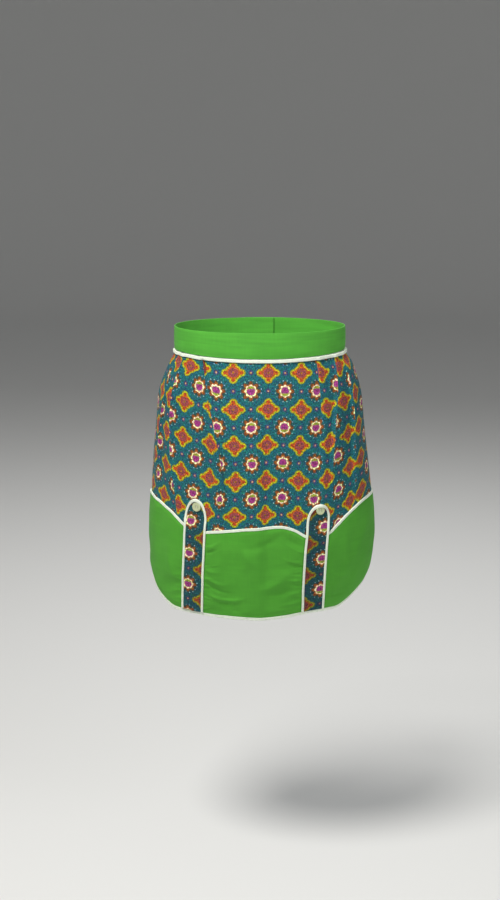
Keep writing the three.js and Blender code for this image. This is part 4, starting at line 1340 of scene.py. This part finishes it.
stitchForm = {"length": 2.5, "pitch": 3.3, "radius": 0.24, "sides": 6, "rings": 5, "endThick": 0.35,
              "arch": 0.12, "pathStep": 1.1, "lift": 0.05, "mapLong": 3.0, "mapRound": 1.2}


# Short rounded bars along a path: each is a spindle whose radius and arch follow a half sine along it
def stitchBars(points, outs):
    s = stitchForm
    length = np.concatenate([[0], np.cumsum(np.linalg.norm(np.diff(points, axis=0), axis=1))])
    count = int(length[-1] / s["pitch"])
    starts = (np.arange(count) + 0.5) * s["pitch"] - s["length"] / 2
    q = np.linspace(0, 1, s["rings"])
    places = starts[:, None] + q[None, :] * s["length"]
    path = np.stack([np.interp(places, length, points[:, k]) for k in range(3)], -1)
    out = np.stack([np.interp(places, length, outs[:, k]) for k in range(3)], -1)
    out /= np.linalg.norm(out, axis=-1, keepdims=True)
    direction = np.gradient(path, axis=1)
    direction /= np.linalg.norm(direction, axis=-1, keepdims=True)
    side = np.cross(direction, out)
    a = 2 * np.pi * np.arange(s["sides"]) / s["sides"]
    swell = np.sin(np.pi * q)
    thick = s["radius"] * (s["endThick"] + (1 - s["endThick"]) * swell)[None, :, None, None]
    path = path + out * (s["arch"] * swell)[None, :, None]
    c, d = np.cos(a)[None, None, :, None], np.sin(a)[None, None, :, None]
    return path[:, :, None, :] + thick * (c * side[:, :, None, :] + d * out[:, :, None, :])


# All the bars as one piece: the sides of every bar and a small cap at both of its ends
def makeThreadPiece(name, barSets):
    bars = np.concatenate(barSets)
    count, rings, sides = bars.shape[:3]
    start = np.arange(count)[:, None] * rings * sides
    quads = (start[..., None] + ringQuads(rings, sides)[None, :, [0, 3, 2, 1]]).reshape(-1, 4)
    first = start + np.arange(sides)[None, ::-1]
    last = start + (rings - 1) * sides + np.arange(sides)[None, :]
    points = bars.reshape(-1, 3)
    u = np.broadcast_to(np.linspace(0, stitchForm["mapLong"], rings)[None, :, None], (count, rings, sides))
    v = np.broadcast_to(np.linspace(0, stitchForm["mapRound"], sides)[None, None, :], (count, rings, sides))
    flat = np.stack([u, v], -1).reshape(-1, 2)
    a, b, c = points[quads[:, 0]], points[quads[:, 1]], points[quads[:, 2]]
    middle = np.repeat(bars.reshape(count, -1, 3).mean(1), (rings - 1) * sides, axis=0)
    faces = [quads, first, last]
    if np.einsum("ij,ij->", np.cross(b - a, c - a), a - middle) < 0:  # the faces point inwards
        faces = [f[:, ::-1] for f in faces]
    piece = makePiece(name, points, faces, [flat[f] for f in faces], [sewingThread])
    return piece


# A row of stitches on a piping, beside its middle line: its points and their outward directions
def pipingSeam(path, form, base):
    stations, places = evenPath(path, stitchForm["pathStep"])
    arc, drop = (stations + pathNormals(stations) * form["seamAt"] * form["width"] / 2).T
    crown = (1 - form["seamAt"] ** (2 / form["square"])) ** (form["square"] / 2)
    tall = (form["high"] - form["low"]) / 2 * plumpness(places, form)
    lift = base(arc, drop) + form["low"] + (1 + crown) * tall + stitchForm["lift"]
    points = clothPoint(arc, drop, lift)
    return points, clothPoint(arc, drop, lift + 1) - points


buttonThread = makeThreadPiece("buttonThread", [buttonBars(spot) for spot, node in spots.values()])
pipingThread = makeThreadPiece("pipingThread", [stitchBars(*pipingSeam(*seam)) for seam in seamPaths])
print("threads:", len(buttonThread.data.polygons) + len(pipingThread.data.polygons), "faces")


# Studio

studio = {"floorAt": -0.95, "middle": 0.01, "flat": 7.0, "wall": 10.0, "high": 5.0, "turns": 96,
          "flatRings": 12, "bendRings": 24, "colour": ink(226, 226, 224), "rough": 0.9,
          "lampsAim": (0, 0, -0.2), "worldColour": (0.9, 0.92, 0.94, 1.0), "worldLight": 0.17}
lamps = {
    "keyLamp": {"at": (-0.95, -1.5, 2.45), "size": 1.1, "watts": 106.0, "colour": (1.0, 0.98, 0.95)},
    "fillLamp": {"at": (2.1, -1.9, 1.2), "size": 2.0, "watts": 22.0, "colour": (0.95, 0.98, 1.0)},
    "backLamp": {"at": (0.4, 2.2, 1.8), "size": 1.8, "watts": 32.0, "colour": (1.0, 1.0, 1.0)},
}
cameraForm = {"at": (-0.017, -3.0, 0.45), "down": 12.14, "lens": 71.24, "sensor": 36.0}


# Floor: a flat disc that curves up at a distance, a profile of radius and height carried round
def makeFloor():
    bend = np.linspace(0, np.pi / 2, studio["bendRings"])
    flat = np.linspace(studio["middle"], studio["flat"], studio["flatRings"])[:-1]
    reach = studio["wall"] - studio["flat"]
    r = np.concatenate([flat, studio["flat"] + reach * np.sin(bend), [studio["wall"]]])
    z = np.concatenate([0 * flat, reach * (1 - np.cos(bend)), [studio["high"]]]) + studio["floorAt"]
    turn = np.linspace(0, 2 * np.pi, studio["turns"], endpoint=False)
    x, y = r[:, None] * np.cos(turn), r[:, None] * np.sin(turn)
    points = np.stack([x, y, z[:, None] + 0 * x], -1)
    faces = ringQuads(*points.shape[:2]).tolist() + [list(range(studio["turns"]))]
    mesh = bpy.data.meshes.new("studioFloor")
    mesh.from_pydata(points.reshape(-1, 3).tolist(), [], faces)
    mesh.polygons.foreach_set("use_smooth", np.ones(len(mesh.polygons), bool))
    material = bpy.data.materials.new("paleFloor")
    material.use_nodes = True
    shader = material.node_tree.nodes["Principled BSDF"]
    shader.inputs["Base Color"].default_value = studio["colour"]
    shader.inputs["Roughness"].default_value = studio["rough"]
    mesh.materials.append(material)
    floor = bpy.data.objects.new("studioFloor", mesh)
    bpy.context.scene.collection.objects.link(floor)


# A round soft lamp that points at the apron: tilted by its height over the aim, turned by its side
def makeLamp(name, lamp):
    light = bpy.data.lights.new(name, "AREA")
    light.shape, light.size, light.energy, light.color = "DISK", lamp["size"], lamp["watts"], lamp["colour"]
    item = bpy.data.objects.new(name, light)
    x, y, z = np.array(studio["lampsAim"]) - np.array(lamp["at"])
    item.location = lamp["at"]
    item.rotation_euler = Euler((np.arctan2(np.hypot(x, y), -z), 0, np.arctan2(-x, y)))
    bpy.context.scene.collection.objects.link(item)


makeFloor()
for name, lamp in lamps.items():
    makeLamp(name, lamp)

world = bpy.data.worlds.new("softRoom")
world.use_nodes = True
room = world.node_tree.nodes["Background"]
room.inputs["Color"].default_value = studio["worldColour"]
room.inputs["Strength"].default_value = studio["worldLight"]
bpy.context.scene.world = world

cameraData = bpy.data.cameras.new("photoCamera")
cameraData.lens, cameraData.sensor_width = cameraForm["lens"], cameraForm["sensor"]
camera = bpy.data.objects.new("photoCamera", cameraData)
camera.location = cameraForm["at"]
camera.rotation_euler = Euler((np.radians(90 - cameraForm["down"]), 0, 0))
bpy.context.scene.collection.objects.link(camera)
bpy.context.scene.camera = camera
bpy.context.scene.view_settings.view_transform = "Standard"
print("studio set")
